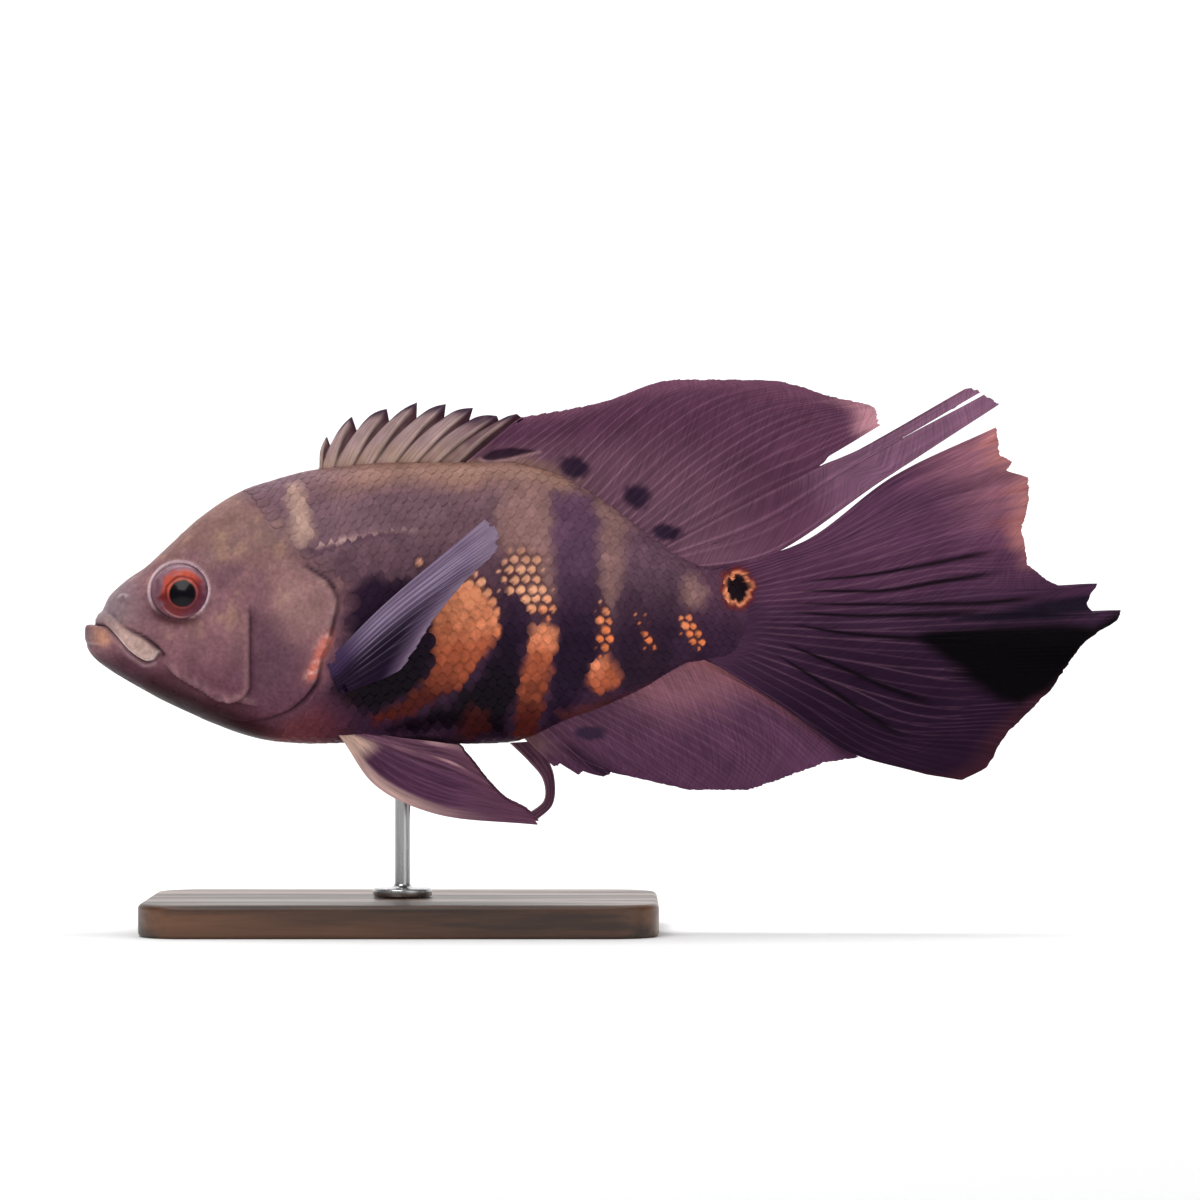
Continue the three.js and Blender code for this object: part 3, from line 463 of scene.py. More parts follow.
def round_eye(s, h):
    """Distance from the eye's middle, by its opening, and the angle there."""
    return np.hypot(s - EYE[0], (h - EYE[1]) / EYE_FLAT), np.arctan2(h - EYE[1], s - EYE[0])


def relief(s, y, h):
    """How far the skin stands out from the plain flesh, in millimetres."""
    out = 0.22 * noise(np.stack([s, y, h], -1), 13) + 0.1 * noise(np.stack([s, y, h], -1), 5.5, 1)
    gap, share, _ = near_curve(MOUTH, s, h, 0.6)
    out -= (1.25 - 0.75 * rise(0.78, 0.95, share)) * bump(gap, 0.5)
    lip = inside(UPPER_JAW, s, h)
    out += 0.7 * rise(-0.3, 1.3, lip)
    gap, share, _ = near_curve(MAXILLA_TOP, s, h, 0.6)
    out -= (0.35 + 0.5 * rise(0.3, 0.7, share)) * bump(gap, 0.5) * rise(0, 0.15, share)
    out += 0.55 * rise(-0.5, 1.8, inside(LIP, s, h))
    gap, share, _ = near_curve(LOWER_LIP, s, h, 0.6)
    out -= 0.3 * bump(gap, 0.6) * rise(1, 0.8, share)
    gap, share, side = near_curve(CHEEK_EDGE, s, h)
    ends = rise(0, 0.15, share) * rise(1, 0.85, share)
    out += ends * np.where(side > 0, 0.5 * np.exp(-gap / 4) - 0.1, -0.3 * np.exp(-gap / 1.6))
    gap, share, side = near_curve(CHEEK_REAR, s, h)
    ends = rise(-0.05, 0.12, share) * rise(1.0, 0.85, share)
    out += ends * np.where(side < 0, 0.55 * np.exp(-gap / 5) * rise(0, 0.3, gap), -0.55 * np.exp(-gap / 1.8))
    cover = inside(OPERCLE, s, h)
    out += (0.15 + 1.05 * rise(54, 74, s)) * rise(-0.3, 0.45, cover)
    gap, share, _ = near_curve(GILL_LINE, s, h)
    out -= 0.75 * bump(gap, 0.9) * (cover < 0) * rise(0, 0.3, share) * rise(1, 0.9, share)
    gap, share, side = near_curve(LATERAL_LINE, s, h)
    out += (0.22 * bump(gap, 0.5) - 0.2 * bump(gap - 1.1, 0.5) * (side < 0)) * rise(1, 0.6, share)
    radius, angle = round_eye(s, h)
    out -= 2.9 * rise(RIM_AT - 0.1, RIM_AT - 0.9, radius)
    out += 0.42 * bump(radius - RIM_AT - 0.25, 0.5)
    out += 0.3 * bump(radius - RIM_AT - BROW_BEYOND, 1.8) * rise(0.1, 0.9, np.sin(angle))
    out -= 0.55 * bump(radius - 11.3, 1.4) * rise(0.2, 0.8, np.cos(angle + 1.9))
    radius = np.hypot(s - NOSTRIL[0], (h - NOSTRIL[1]) * 1.5)
    out += 0.6 * bump(radius - 1.0, 0.55) * (0.5 + 0.5 * rise(-0.6, 0.6, h - NOSTRIL[1]))
    out -= 0.7 * bump(radius, 0.55)
    return out + pits(s, h)


def pits(s, h):
    """Sensory pores of the head, in rows."""
    out = np.zeros(np.shape(s))
    for row in PORE_ROWS:
        for at in smooth_line(row, 0.2)[::PORE_EVERY]:
            gap = np.hypot(s - at[0], h - at[1])
            out += 0.1 * bump(gap - 0.75, 0.35) - 0.38 * bump(gap, 0.42)
    return out


# Markings, drawn from the left side
ORANGE_SHOULDER = [
    (107.8, 71.1), (113, 74.2), (119.4, 73), (123.7, 68.7), (125.8, 61.1), (123.7, 54), (120, 49.2),
    (116.9, 44.9), (110.8, 40), (102.3, 35.7), (93.7, 32.4), (88.2, 30.8), (87.6, 33), (94.7, 36.9),
    (100.8, 41.2), (105.3, 46.1), (107.8, 51.9), (106.6, 59.5),
]
ORANGE_STRIPE = [
    (136.8, 59.5), (140.5, 61.4), (143.8, 58.3), (142.6, 51.9), (141.4, 44.3), (139.8, 36.6),
    (138.3, 31.5), (137.1, 26.8), (130.4, 25.6), (130.7, 32.1), (132.2, 39.7), (133.4, 47.3), (135, 55),
]
ORANGE_PEAR = [
    (156.6, 49.8), (159.1, 52.8), (161.5, 49.2), (163.1, 44.9), (160.3, 41.8), (156.3, 40.6),
    (153.3, 43.7), (154.5, 47.9),
]
ORANGE_BELLY = [
    [(113, 31.5), (117.6, 35.7), (122.4, 34.5), (123.1, 29), (117.6, 26.6), (112.1, 27.5)],
    [(129.2, 28.6), (135.9, 30.5), (140.5, 29), (141.4, 23.5), (134.4, 20), (129.2, 22)],
]
PEARLS = [
    [
        (124.3, 76.3), (128.2, 84), (134.4, 86.5), (139.5, 83.5), (142.8, 74.8), (144.6, 66.9),
        (140.8, 61.6), (136.2, 64), (132.8, 68.9), (128.2, 71.2),
    ],
    [(107, 72), (112, 77.5), (119, 78), (125, 74), (127.3, 63), (125.5, 55), (122, 58), (118, 69)],
    [(155.4, 67), (159.1, 69.1), (160.9, 62.6), (161.2, 55), (159.1, 50.4), (156.3, 51.9), (154.8, 58)],
    [(167.6, 65), (171, 64.1), (173.1, 58.9), (174, 54), (171.6, 51), (168.9, 55), (167.6, 59.5)],
    [(180.5, 65), (184.1, 66.6), (187.2, 61.1), (189.3, 56.5), (187.8, 52.4), (184.1, 54.2), (181.7, 58.9)],
    [(100, 82.2), (103.2, 82.4), (103.6, 79), (100.2, 78.8)],
]
TAN_BARS = [
    [
        (126.7, 101), (132.8, 106), (140.5, 103), (142.6, 93.1), (142.9, 80.9), (143.8, 68.7),
        (135.9, 66.7), (130.3, 78.9), (124.7, 88),
    ],
    [
        (155.6, 99), (161.8, 97.8), (165.2, 90.1), (165.8, 80.9), (163.4, 71.8), (160.3, 65.2),
        (156.3, 70.8), (155, 84),
    ],
    [(181, 76), (187, 77), (189, 71), (187, 66), (182, 67)],
]
DARK_BARS = [
    [
        (76.3, 68.7), (80.9, 74.2), (90.1, 75.4), (102.3, 73.3), (108.4, 68.7), (107.2, 56.5),
        (107.2, 50.4), (103.8, 43.7), (96.2, 38.2), (88.5, 34.5), (79.4, 36.6), (77.3, 41.2), (79.4, 50.4),
        (81.5, 56.5), (77.9, 62.6),
    ],
    [
        (126.1, 68.7), (128.5, 71.1), (132.2, 69.9), (135.3, 65), (135.9, 58.9), (133.7, 51.9),
        (132.2, 41.2), (130.4, 33.6), (128.2, 26.6), (117.6, 27.5), (108.4, 29), (100.8, 28.6), (92, 29),
        (105.3, 34.5), (113, 38.8), (119.1, 44.3), (123.7, 51.9), (126.1, 60.2),
    ],
    [
        (143.8, 101), (149.6, 102.8), (154.2, 99.7), (156.6, 90.1), (156.3, 77.9), (157.3, 65.6),
        (156, 53.4), (153.6, 44.3), (149.6, 38.2), (145, 32.1), (140.5, 26.6), (138.9, 29), (141.4, 38.2),
        (142.9, 50.4), (143.8, 62.6), (142.9, 74.8), (142.9, 87),
    ],
    [
        (163.4, 88), (169.5, 92), (178.7, 86), (182.7, 76), (178.6, 56.5), (179.2, 50.4), (169.5, 42.3),
        (164, 39.2), (162.7, 53.4), (161.5, 65.6),
    ],
]
PURPLE_BAR, FAINT_BAR = 2, 3
RED_SMEAR = [
    (143.5, 34.5), (154.2, 37.9), (164.9, 40.8), (174, 43.8), (169.5, 37.3), (157.3, 31.7), (146.6, 28.2),
]
GILL_STREAK = [(75.7, 58.3), (74.2, 55.9), (73, 53.4), (71.8, 49.8), (70.2, 46.7), (68.4, 44)]
TAN_TEMPLE = [(61, 103), (66, 104), (70, 95), (71, 88), (67, 85), (63, 88), (62, 95)]
OCELLUS = (199.1, 72.3)

ORANGE = colour(250, 156, 114)
ORANGE_MIDDLE = colour(182, 92, 62)
ORANGE_DEEP = colour(84, 30, 26)
PEARL = colour(250, 178, 138)
PEARL_DEEP = colour(236, 128, 76)
TAN = colour(150, 112, 108)
DARK = colour(34, 17, 39)
NEAR_BLACK = colour(9, 3, 12)


def with_ocellus(tone, s, h):
    """The eye spot at the tail fin's root: a jagged black patch in a bright ring."""
    ds, dh = (s - OCELLUS[0]) / 0.93, (h - OCELLUS[1]) / 1.08
    angle = np.arctan2(dh, ds)
    jagged = 4.45 + 0.3 * np.sin(5 * angle + 1) + 0.28 * np.sin(8 * angle) + 0.2 * np.sin(13 * angle + 2)
    gap = np.hypot(ds, dh) - jagged
    tone = layered(tone, [
        ((112, 30, 18), 0.8 * bump(gap - 0.7, 1.0)),
        ((24, 10, 20), rise(0.2, -0.5, gap)),
    ])
    return mix(tone, colour(244, 150, 108), 0.95 * bump(gap, 0.5))


def orange_cover(s, h, wander):
    """How much of the skin is orange, 0 to 1, and how pale the orange is."""
    solid = np.zeros(np.shape(s))
    for outline in (ORANGE_SHOULDER, ORANGE_STRIPE, ORANGE_PEAR):
        solid = np.maximum(solid, rise(-1.3, 1.1, inside(outline, s, h) + 1.0 * wander))
    for outline in ORANGE_BELLY:
        solid = np.maximum(solid, 0.55 * rise(-2, 2.5, inside(outline, s, h) + 1.2 * wander))
    dots = np.zeros(np.shape(s))
    for outline in PEARLS:
        dots = np.maximum(dots, 0.62 * rise(-1.2, 3.0, inside(outline, s, h) + 1.6 * wander))
    return solid, np.clip(dots, 0, 1)


def flank_colour(s, y, h, wander):
    """The skin between and under the orange."""
    s, h = np.asarray(s, float), np.asarray(h, float)
    top = back(s)
    share = (h - belly(s)) / (top - belly(s))
    side_view = np.stack([s, y, h], -1)
    patchy = noise(side_view, 9, 5)
    tone = mix(colour(58, 34, 56), colour(116, 85, 95), rise(0.3, 0.8, share + 0.06 * patchy))
    ochre = rise(0.86, 0.97, share + 0.03 * patchy) * rise(60, 95, s) * rise(172, 140, s)
    tone = mix(tone, colour(150, 112, 100), ochre)
    tone = mix(tone, mix(colour(52, 28, 52), colour(84, 52, 74), rise(54, 74, h)), rise(176, 190, s) * 0.85)
    for outline in TAN_BARS:
        tone = mix(tone, TAN, 0.85 * rise(-2.2, 2.4, inside(outline, s, h) + 1.2 * wander))
    for k, outline in enumerate(DARK_BARS):
        cover = rise(-2.8, 2.4, inside(outline, s, h) + 1.7 * wander)
        deep = mix(DARK, NEAR_BLACK, rise(64, 40, h) * (k != PURPLE_BAR))
        bar = mix(deep, colour(96, 66, 90), rise(56, 90, h) * (k > 0))
        tone = mix(tone, bar, (0.94 - 0.45 * (k == FAINT_BAR)) * cover)
    tone = layered(tone, [
        ((96, 46, 46), 0.75 * rise(-1.5, 2.5, inside(RED_SMEAR, s, h) + wander)),
        ((120, 60, 66), 0.85 * rise(0.24, 0.05, share) * rise(86, 66, s)),
    ])
    return tone * (1 + 0.1 * patchy + 0.06 * noise(side_view, 3.1, 6))[..., None]


def head_colour(s, y, h):
    """The skin of the head and the gill covers."""
    side_view = np.stack([s, y, h], -1)
    patchy = noise(side_view, 7, 2) + 0.5 * noise(side_view, 3, 3)
    fine = noise(side_view, 1.5, 17) + 0.6 * noise(side_view, 0.8, 18)
    tone = mix(colour(104, 64, 78), colour(138, 98, 105), rise(38, 62, h + 2 * patchy))
    cover, shadow = inside(OPERCLE, s, h), inside(COVER_SHADE, s, h)
    below = -left_of(JAW_LINE, s, h)
    chin = np.hypot((s - 1) / 3.2, (h - 57) / 4)
    lip = rise(-0.8, 1.8, inside(LIP, s, h) + 0.6 * patchy) * bump(s - 7 - 0.8 * patchy, 3.6)
    strip = rise(-0.3, 1.4, inside(UPPER_JAW, s, h)) * rise(3, 16, s)
    tone = layered(tone, [
        ((139, 106, 98), rise(68, 92, h + 3 * patchy) * 0.8),
        ((166, 128, 108), 0.6 * rise(0.1, 0.9, patchy + 0.35 * fine) * rise(50, 66, h)),
        ((112, 78, 94), 0.5 * rise(-0.2, -1.0, patchy - 0.2 * fine)),
        ((138, 118, 124), rise(22, 8, s) * rise(58, 64, h)),
        ((160, 122, 118), 0.75 * rise(-1, 7, cover) * rise(52, 66, h) * rise(54, 64, s)),
        ((90, 60, 76), rise(-7, 6, shadow + 2 * patchy) * 0.75),
        ((70, 36, 50), rise(56, 48, h) * rise(30, 12, s)),
        ((46, 12, 22), rise(-4, 2, below + patchy) * rise(12, 22, s) * (1 - 0.35 * rise(44, 60, s))),
        ((92, 48, 44), rise(0, 4, below) * rise(44, 58, s) * (0.7 + 0.3 * patchy)),
        ((108, 62, 46), 0.6 * rise(0.1, 0.9, patchy) * rise(2, 5, below) * rise(52, 62, s)),
        ((118, 94, 104), rise(1.3, 0.4, chin + 0.1 * patchy)),
        ((190, 136, 112), 0.85 * lip),
        ((202, 172, 162), strip * (0.82 + 0.1 * patchy + 0.08 * fine)),
    ])
    gap, share, side = near_curve(MOUTH, s, h, 0.6)
    # Along the mouth: a dark line in its slit, painted shade, and a pale line on the upper jaw's lower edge,
    # a painted highlight.
    tone = layered(tone, [
        ((56, 30, 42), (0.9 - 0.35 * rise(0.3, 0.5, share)) * bump(gap, 0.36)),
        ((226, 204, 200), 0.8 * bump(gap - 0.7, 0.34) * (side > 0) * rise(0.3, 0.5, share)),
    ])
    gap, share, _ = near_curve(JAW_SEAM, s, h, 0.6)
    tone = mix(tone, colour(186, 150, 156), 0.4 * bump(gap, 0.6))
    gap, share, _ = near_curve(MAXILLA_TOP, s, h, 0.6)
    # A dark line in the crease above the upper jaw: painted shade.
    tone = mix(tone, colour(52, 26, 38), rise(0.1, 0.7, share) * bump(gap, 0.55))
    gap, share, side = near_curve(CHEEK_REAR, s, h)
    ends = rise(-0.05, 0.1, share) * rise(1, 0.85, share)
    # Behind the step at the cheek's rear edge a dark band, painted shadow; in front of it a pale band,
    # painted highlight on the raised edge.
    tone = layered(tone, [
        ((56, 28, 44), 0.85 * ends * np.where(side > 0, np.exp(-gap / 1.2), bump(gap, 0.25))),
        ((166, 124, 124), 0.35 * ends * (side < 0) * bump(gap - 1.2, 1.0)),
    ])
    gap, share, side = near_curve(CHEEK_EDGE, s, h)
    # Under the cheek's raised ridge a dark band, painted shadow; on top of the ridge a pale band, painted
    # highlight.
    tone = layered(tone, [
        ((60, 24, 34), 0.7 * rise(0, 0.2, share) * (side < 0) * np.exp(-gap / 3)),
        ((168, 128, 132), rise(0, 0.2, share) * (side > 0) * bump(gap - 1.4, 1.5) * (0.24 + 0.16 * fine)),
    ])
    gap, share, side = near_curve(GILL_LINE, s, h)
    edge = bump(gap - 1.6, 1.5) * (side > 0) * rise(0.5, 0.65, share) * rise(1, 0.85, share)
    # A dark line along the gill cover's edge: painted shadow in the gap behind it.
    tone = layered(tone, [
        ((36, 18, 32), 0.9 * bump(gap, 0.6) * rise(0.06, 0.3, share) * rise(0.86, 0.6, share)),
        ((170, 134, 130), edge * (0.35 + 0.15 * fine)),
    ])
    gap, share, _ = near_curve(GILL_STREAK, s, h)
    streak = bump(gap + 0.5 * patchy + 0.6 * fine, 1.7) * rise(-0.05, 0.1, share) * rise(1.05, 0.8, share)
    tone = layered(tone, [
        ((214, 118, 104), 0.85 * streak),
        ((244, 206, 194), 0.7 * streak * rise(0.0, 0.9, fine)),
    ])
    gap, _, _ = near_curve(COVER_TOP, s, h)
    tone = mix(tone, colour(42, 24, 44), 0.9 * bump(gap, 0.9))
    radius, angle = round_eye(s, h)
    # under says how far a point lies beneath the eye: there a dark crescent is painted shadow, and it also
    # hides the pale rim.
    under = rise(0.35, 0.95, np.cos(angle + 1.75))
    tone = layered(tone, [
        ((64, 26, 32), 0.95 * bump(np.maximum(radius - 9.7, 0), 1.9) * under),
        ((226, 196, 206), 0.85 * bump(radius - RIM_AT - 0.2, 0.42) * (1 - 0.95 * under)),
        ((84, 54, 62), rise(RIM_AT - 0.3, RIM_AT - 0.8, radius)),
    ])
    radius = np.hypot(s - NOSTRIL[0], (h - NOSTRIL[1]) * 1.5)
    # The nostril's rim pale on its upper half, a painted highlight, and its pit dark, painted shade.
    tone = layered(tone, [
        ((204, 180, 188), 0.75 * bump(radius - 1.0, 0.6) * rise(-0.8, 0.4, h - NOSTRIL[1])),
        ((84, 56, 64), 0.75 * bump(np.hypot(radius, 1.2 * (h - NOSTRIL[1] + 0.5)), 0.7)),
    ])
    # The underside of the head darker: painted shade.
    underside_shade = rise(0.13, 0.0, (h - belly(s)) / (back(s) - belly(s))) * rise(62, 48, s)
    tone = mix(tone, colour(40, 16, 26), 0.75 * underside_shade)
    return tone * (1 + 0.07 * patchy + 0.09 * fine)[..., None]


def skin_colour(s, y, h, dots_centre=None):
    """The colour of the skin, or of a scale where dots_centre says how far a point is from its middle."""
    right = (y > 0.5) * 1.0
    place_noise = np.stack([s, y * 0 + 40 * right, h], -1)
    wander = noise(place_noise, 3.6, 8) + 0.5 * noise(place_noise, 1.7, 9)
    shift = 2.5 * right * noise(place_noise, 22, 10)
    flank = flank_colour(s + shift, y, h + shift * 0.5, wander)
    solid, dots = orange_cover(s + shift, h + shift * 0.5, wander)
    # The orange deepens lower down: partly its own deeper colour and partly painted shade on the lower flank.
    low = h + 3 * wander + 5 * rise(124, 134, s) + 5 * rise(148, 154, s)
    orange = mix(ORANGE, ORANGE_MIDDLE, rise(70, 53, low))
    orange = mix(orange, ORANGE_DEEP, rise(55, 37, low)) * (1 + 0.13 * wander)[..., None]
    full = np.clip(dots * 1.6, 0, 1)
    pearl = mix(PEARL_DEEP, PEARL, rise(60, 74, h + 3 * wander))
    pearl = mix(pearl, colour(184, 132, 112), 0.8 * rise(76, 84, h + 3 * wander))
    pearl = pearl * (1 + 0.12 * wander)[..., None]
    if dots_centre is None:
        flank = mix(flank, pearl, 0.2 * full)
    else:
        reach = (0.95 + 0.12 * wander) * rise(0.1, 0.85, full)
        flank = mix(flank, colour(96, 54, 52), 0.6 * full * rise(0.8, 1.1, dots_centre))
        bead = rise(reach + 0.12, reach - 0.2, dots_centre) * rise(0.12, 0.4, full)
        flank = mix(flank, pearl, 0.95 * bead)
        orange = mix(orange, orange * 0.86, rise(0.8, 1.15, dots_centre))
    body = mix(flank, orange, solid)
    head = head_colour(s, y, h)
    behind = rise(-4, 4, left_of(SCALES_FROM, s, h) + 1.5 * wander)
    tone = mix(head, body, behind)
    tone = mix(tone, colour(196, 158, 142), 0.8 * rise(-1.5, 2.5, inside(TAN_TEMPLE, s, h) + 1.2 * wander))
    gap, share, side = near_curve(LATERAL_LINE, s, h)
    # The lateral line pale, with a dark line below it that is painted shadow under its ridge.
    tone = layered(tone, [
        ((196, 160, 156), 0.75 * bump(gap, 0.55) * rise(0.85, 0.25, share)),
        ((74, 48, 66), 0.55 * bump(gap - 1.2, 0.7) * (side < 0) * rise(0.9, 0.3, share)),
    ])
    return np.clip(with_ocellus(tone, s, h), 0, 1)


# Skin
def wet_skin():
    n = Nodes("wet_skin")
    paint = n.add("Attribute", attribute_name="paint").outputs["Color"]
    grain = n.noise(900, 4)
    blotch = n.noise(190, 3)
    shade = n.math("MULTIPLY", n.spread(grain, 0.3, 0.7, 0.84, 1.16), n.spread(blotch, 0.3, 0.7, 0.88, 1.12))
    rough = n.spread(n.noise(400, 2), 0.3, 0.7, 0.34, 0.5)
    where = n.add("TexCoord").outputs["Object"]
    cells = n.add("TexVoronoi", {"Scale": 620.0, "Vector": where}, feature="SMOOTH_F1")
    relief_fine = n.bump(grain, 0.00012, 0.5)
    normal = n.bump(cells.outputs["Distance"], 0.00016, 0.35, relief_fine)
    n.set(Base_Color=n.tint(paint, shade), Roughness=rough, Normal=normal)
    n.set(Coat_Weight=0.04, Coat_Roughness=0.16, Specular_IOR_Level=0.05)
    n.set(Subsurface_Weight=0.04, Subsurface_Scale=0.002)
    n.shader.inputs["Subsurface Radius"].default_value = (1.0, 0.4, 0.3)
    return n.material


def scaled_area(s, h):
    """1 where scales lie over the skin, 0 on the bare head."""
    return rise(-1, 6, left_of(SCALES_FROM, s, h))


SKIN_SINKS = 0.14
angles = np.linspace(0, 2 * np.pi, SIDES, endpoint=False)
skin_s, skin_y, skin_h = flesh_grid(stations[:, None], angles[None, :])


def normals_of(points, closed):
    along = np.gradient(points, axis=0)
    if closed:
        around = np.roll(points, -1, axis=1) - np.roll(points, 1, axis=1)
    else:
        around = np.gradient(points, axis=1)
    normal = np.cross(along, around)
    return normal / np.maximum(np.linalg.norm(normal, axis=-1, keepdims=True), 1e-12)


def skin_points():
    flat = np.stack([skin_s, skin_y, skin_h], -1)
    normal = normals_of(flat, True)
    normal[0] = (-1, 0, 0)
    out = np.zeros(skin_s.shape)
    head = stations < HEAD_REAR + 40
    out[head] = relief(skin_s[head], skin_y[head], skin_h[head])
    rest = flat[~head]
    out[~head] = 0.22 * noise(rest, 13) + 0.1 * noise(rest, 5.5, 1)
    out *= rise(0, 1.2, stations)[:, None] * rise(TAIL_END[1], TAIL_END[1] - 6, stations)[:, None]
    out -= SKIN_SINKS * scaled_area(skin_s, skin_h)
    return flat + normal * out[..., None]


relieved = skin_points()
relieved_normal = normals_of(relieved, True)
relieved_normal[0] = (-1, 0, 0)


def make_skin(material):
    rings = len(stations)
    s, y, h = relieved[..., 0], relieved[..., 1], relieved[..., 2]
    vertices = place(s, y, h).reshape(-1, 3)
    paint = skin_colour(skin_s, skin_y, skin_h).reshape(-1, 3)
    tip, tail = vertices[:SIDES].mean(0), vertices[-SIDES:].mean(0)
    vertices = np.r_[vertices, [tip, tail]]
    paint = np.r_[paint, [paint[:SIDES].mean(0), paint[-SIDES:].mean(0)]]
    triangles = capped_faces(rings, SIDES, flip=True)
    along = np.repeat(stations, SIDES) / BAKE_LENGTH
    around = np.tile(angles / (2 * np.pi), rings)
    uv = BAKE_FROM + BAKE_SPAN * np.r_[np.c_[along, around], [[0, 0.5], [TAIL_END[1] / BAKE_LENGTH, 0.5]]]
    flesh = (
        "head", "lower_jaw", "gill_cover_left", "gill_cover_right", "trunk_front", "trunk_rear", "tail_stalk"
    )
    return make_piece("skin", vertices, triangles, material, flesh, paint, uv=uv)


# Scales
ROW_STEP, SCALE_STEP = 2.9, 3.4
SCALE_RADIUS = 2.75
SCALE_ARC = np.radians([-62, -38, -14, 8, 28, 46, 61, 74, 86])  # from a scale's hidden root to its rear edge
SCALE_ACROSS = np.linspace(-1, 1, 7)
SCALE_THICK = 0.1
PATCH = 0.003  # a scale's width on the bake map
LAST_SCALE = 197.5
SCALES_PART = 122.0  # between the front and the rear piece of scales
ARC_STEP = 0.5
ARC_REACH = 62.0


def arc_tables():
    """Skin points and normals by distance round the body from its widest line on the left, up positive."""
    arcs = np.arange(-ARC_REACH, ARC_REACH + ARC_STEP / 2, ARC_STEP)
    points, directions = [], []
    tops = []
    start = SIDES // 4
    order = (np.arange(SIDES + 1) + start) % SIDES
    for ring, normal in zip(relieved, relieved_normal):
        loop = ring[order]
        length = np.r_[0, np.cumsum(np.linalg.norm(np.diff(loop, axis=0), axis=1))]
        at = arcs % length[-1]
        points.append(np.stack([np.interp(at, length, loop[:, k]) for k in range(3)], -1))
        directions.append(np.stack([np.interp(at, length, normal[order][:, k]) for k in range(3)], -1))
        top = length[(SIDES // 2 - start) % SIDES]
        tops.append((top, top - length[-1] / 2))
    return np.array(points), np.array(directions), np.array(tops)


arc_points, arc_normals, arc_ends = arc_tables()


def on_body(s, arc):
    """Point and normal at a place along the body and round it."""
    ring = np.interp(s, stations, np.arange(len(stations)))
    step = np.clip((arc + ARC_REACH) / ARC_STEP, 0, arc_points.shape[1] - 1.001)
    i = np.minimum(ring.astype(int), len(stations) - 2)
    j = step.astype(int)
    a, b = (ring - i)[..., None], (step - j)[..., None]

    def at(table):
        low = table[i, j] * (1 - a) + table[i + 1, j] * a
        high = table[i, j + 1] * (1 - a) + table[i + 1, j + 1] * a
        return low * (1 - b) + high * b

    return at(arc_points), at(arc_normals)


def shrink(s):
    """Scales grow smaller towards the tail and the nape."""
    return 1 - 0.24 * rise(120, 200, s) - 0.12 * rise(90, 60, s)


def scale_roots():
    """Places of the scales of the left side: along the body, and round it."""
    found = []
    rows = range(-24, 25)
    for row in rows:
        s = 46.0 + (0.5 * SCALE_STEP if row % 2 else 0)
        while s < 201.5:
            found.append((s, row * ROW_STEP * shrink(s) / 0.94))
            s += SCALE_STEP * shrink(s)
    found = np.array(found)
    rng = np.random.default_rng(11)
    found += rng.normal(0, 0.12, found.shape)
    top = np.interp(found[:, 0], stations, arc_ends[:, 0])
    bottom = np.interp(found[:, 0], stations, arc_ends[:, 1])
    point, _ = on_body(found[:, 0], found[:, 1])
    behind = left_of(SCALES_FROM, point[:, 0], point[:, 2])
    cover, _, _ = near_curve(GILL_LINE, point[:, 0], point[:, 2])
    keep = (found[:, 1] < top - 0.8) & (found[:, 1] > bottom + 0.6) & (behind > 1.2) & (cover > 2.6)
    keep &= point[:, 0] < LAST_SCALE
    return found[keep], behind[keep]


def scale_plate():
    """One scale's points, how far each stands out, and its faces. Its root lies under the one before."""
    x = SCALE_RADIUS * np.sin(SCALE_ARC)[:, None] + 0 * SCALE_ACROSS
    y = SCALE_RADIUS * np.cos(SCALE_ARC)[:, None] * SCALE_ACROSS
    share = (x + SCALE_RADIUS) / (2 * SCALE_RADIUS)
    lift = -0.16 + 0.22 * share - 0.05 * (y / SCALE_RADIUS) ** 2
    rows, columns = x.shape
    kept = np.ones((rows - 1, columns - 1), bool)
    return x.ravel(), y.ravel(), lift.ravel(), sheet_faces(kept)


def scale_colours(root, point, centre, tone, edge):
    """Markings fall partly by scale and partly by place, so that their edges are ragged but not tiled."""
    between = 0.45 * root[:, None] + 0.55 * point
    flat = between.reshape(-1, 3)
    shade = skin_colour(flat[:, 0], flat[:, 1], flat[:, 2], np.tile(centre, len(root))).reshape(point.shape)
    return np.clip(shade * (tone[:, None] * (1.02 - 0.07 * edge))[..., None], 0, 1)


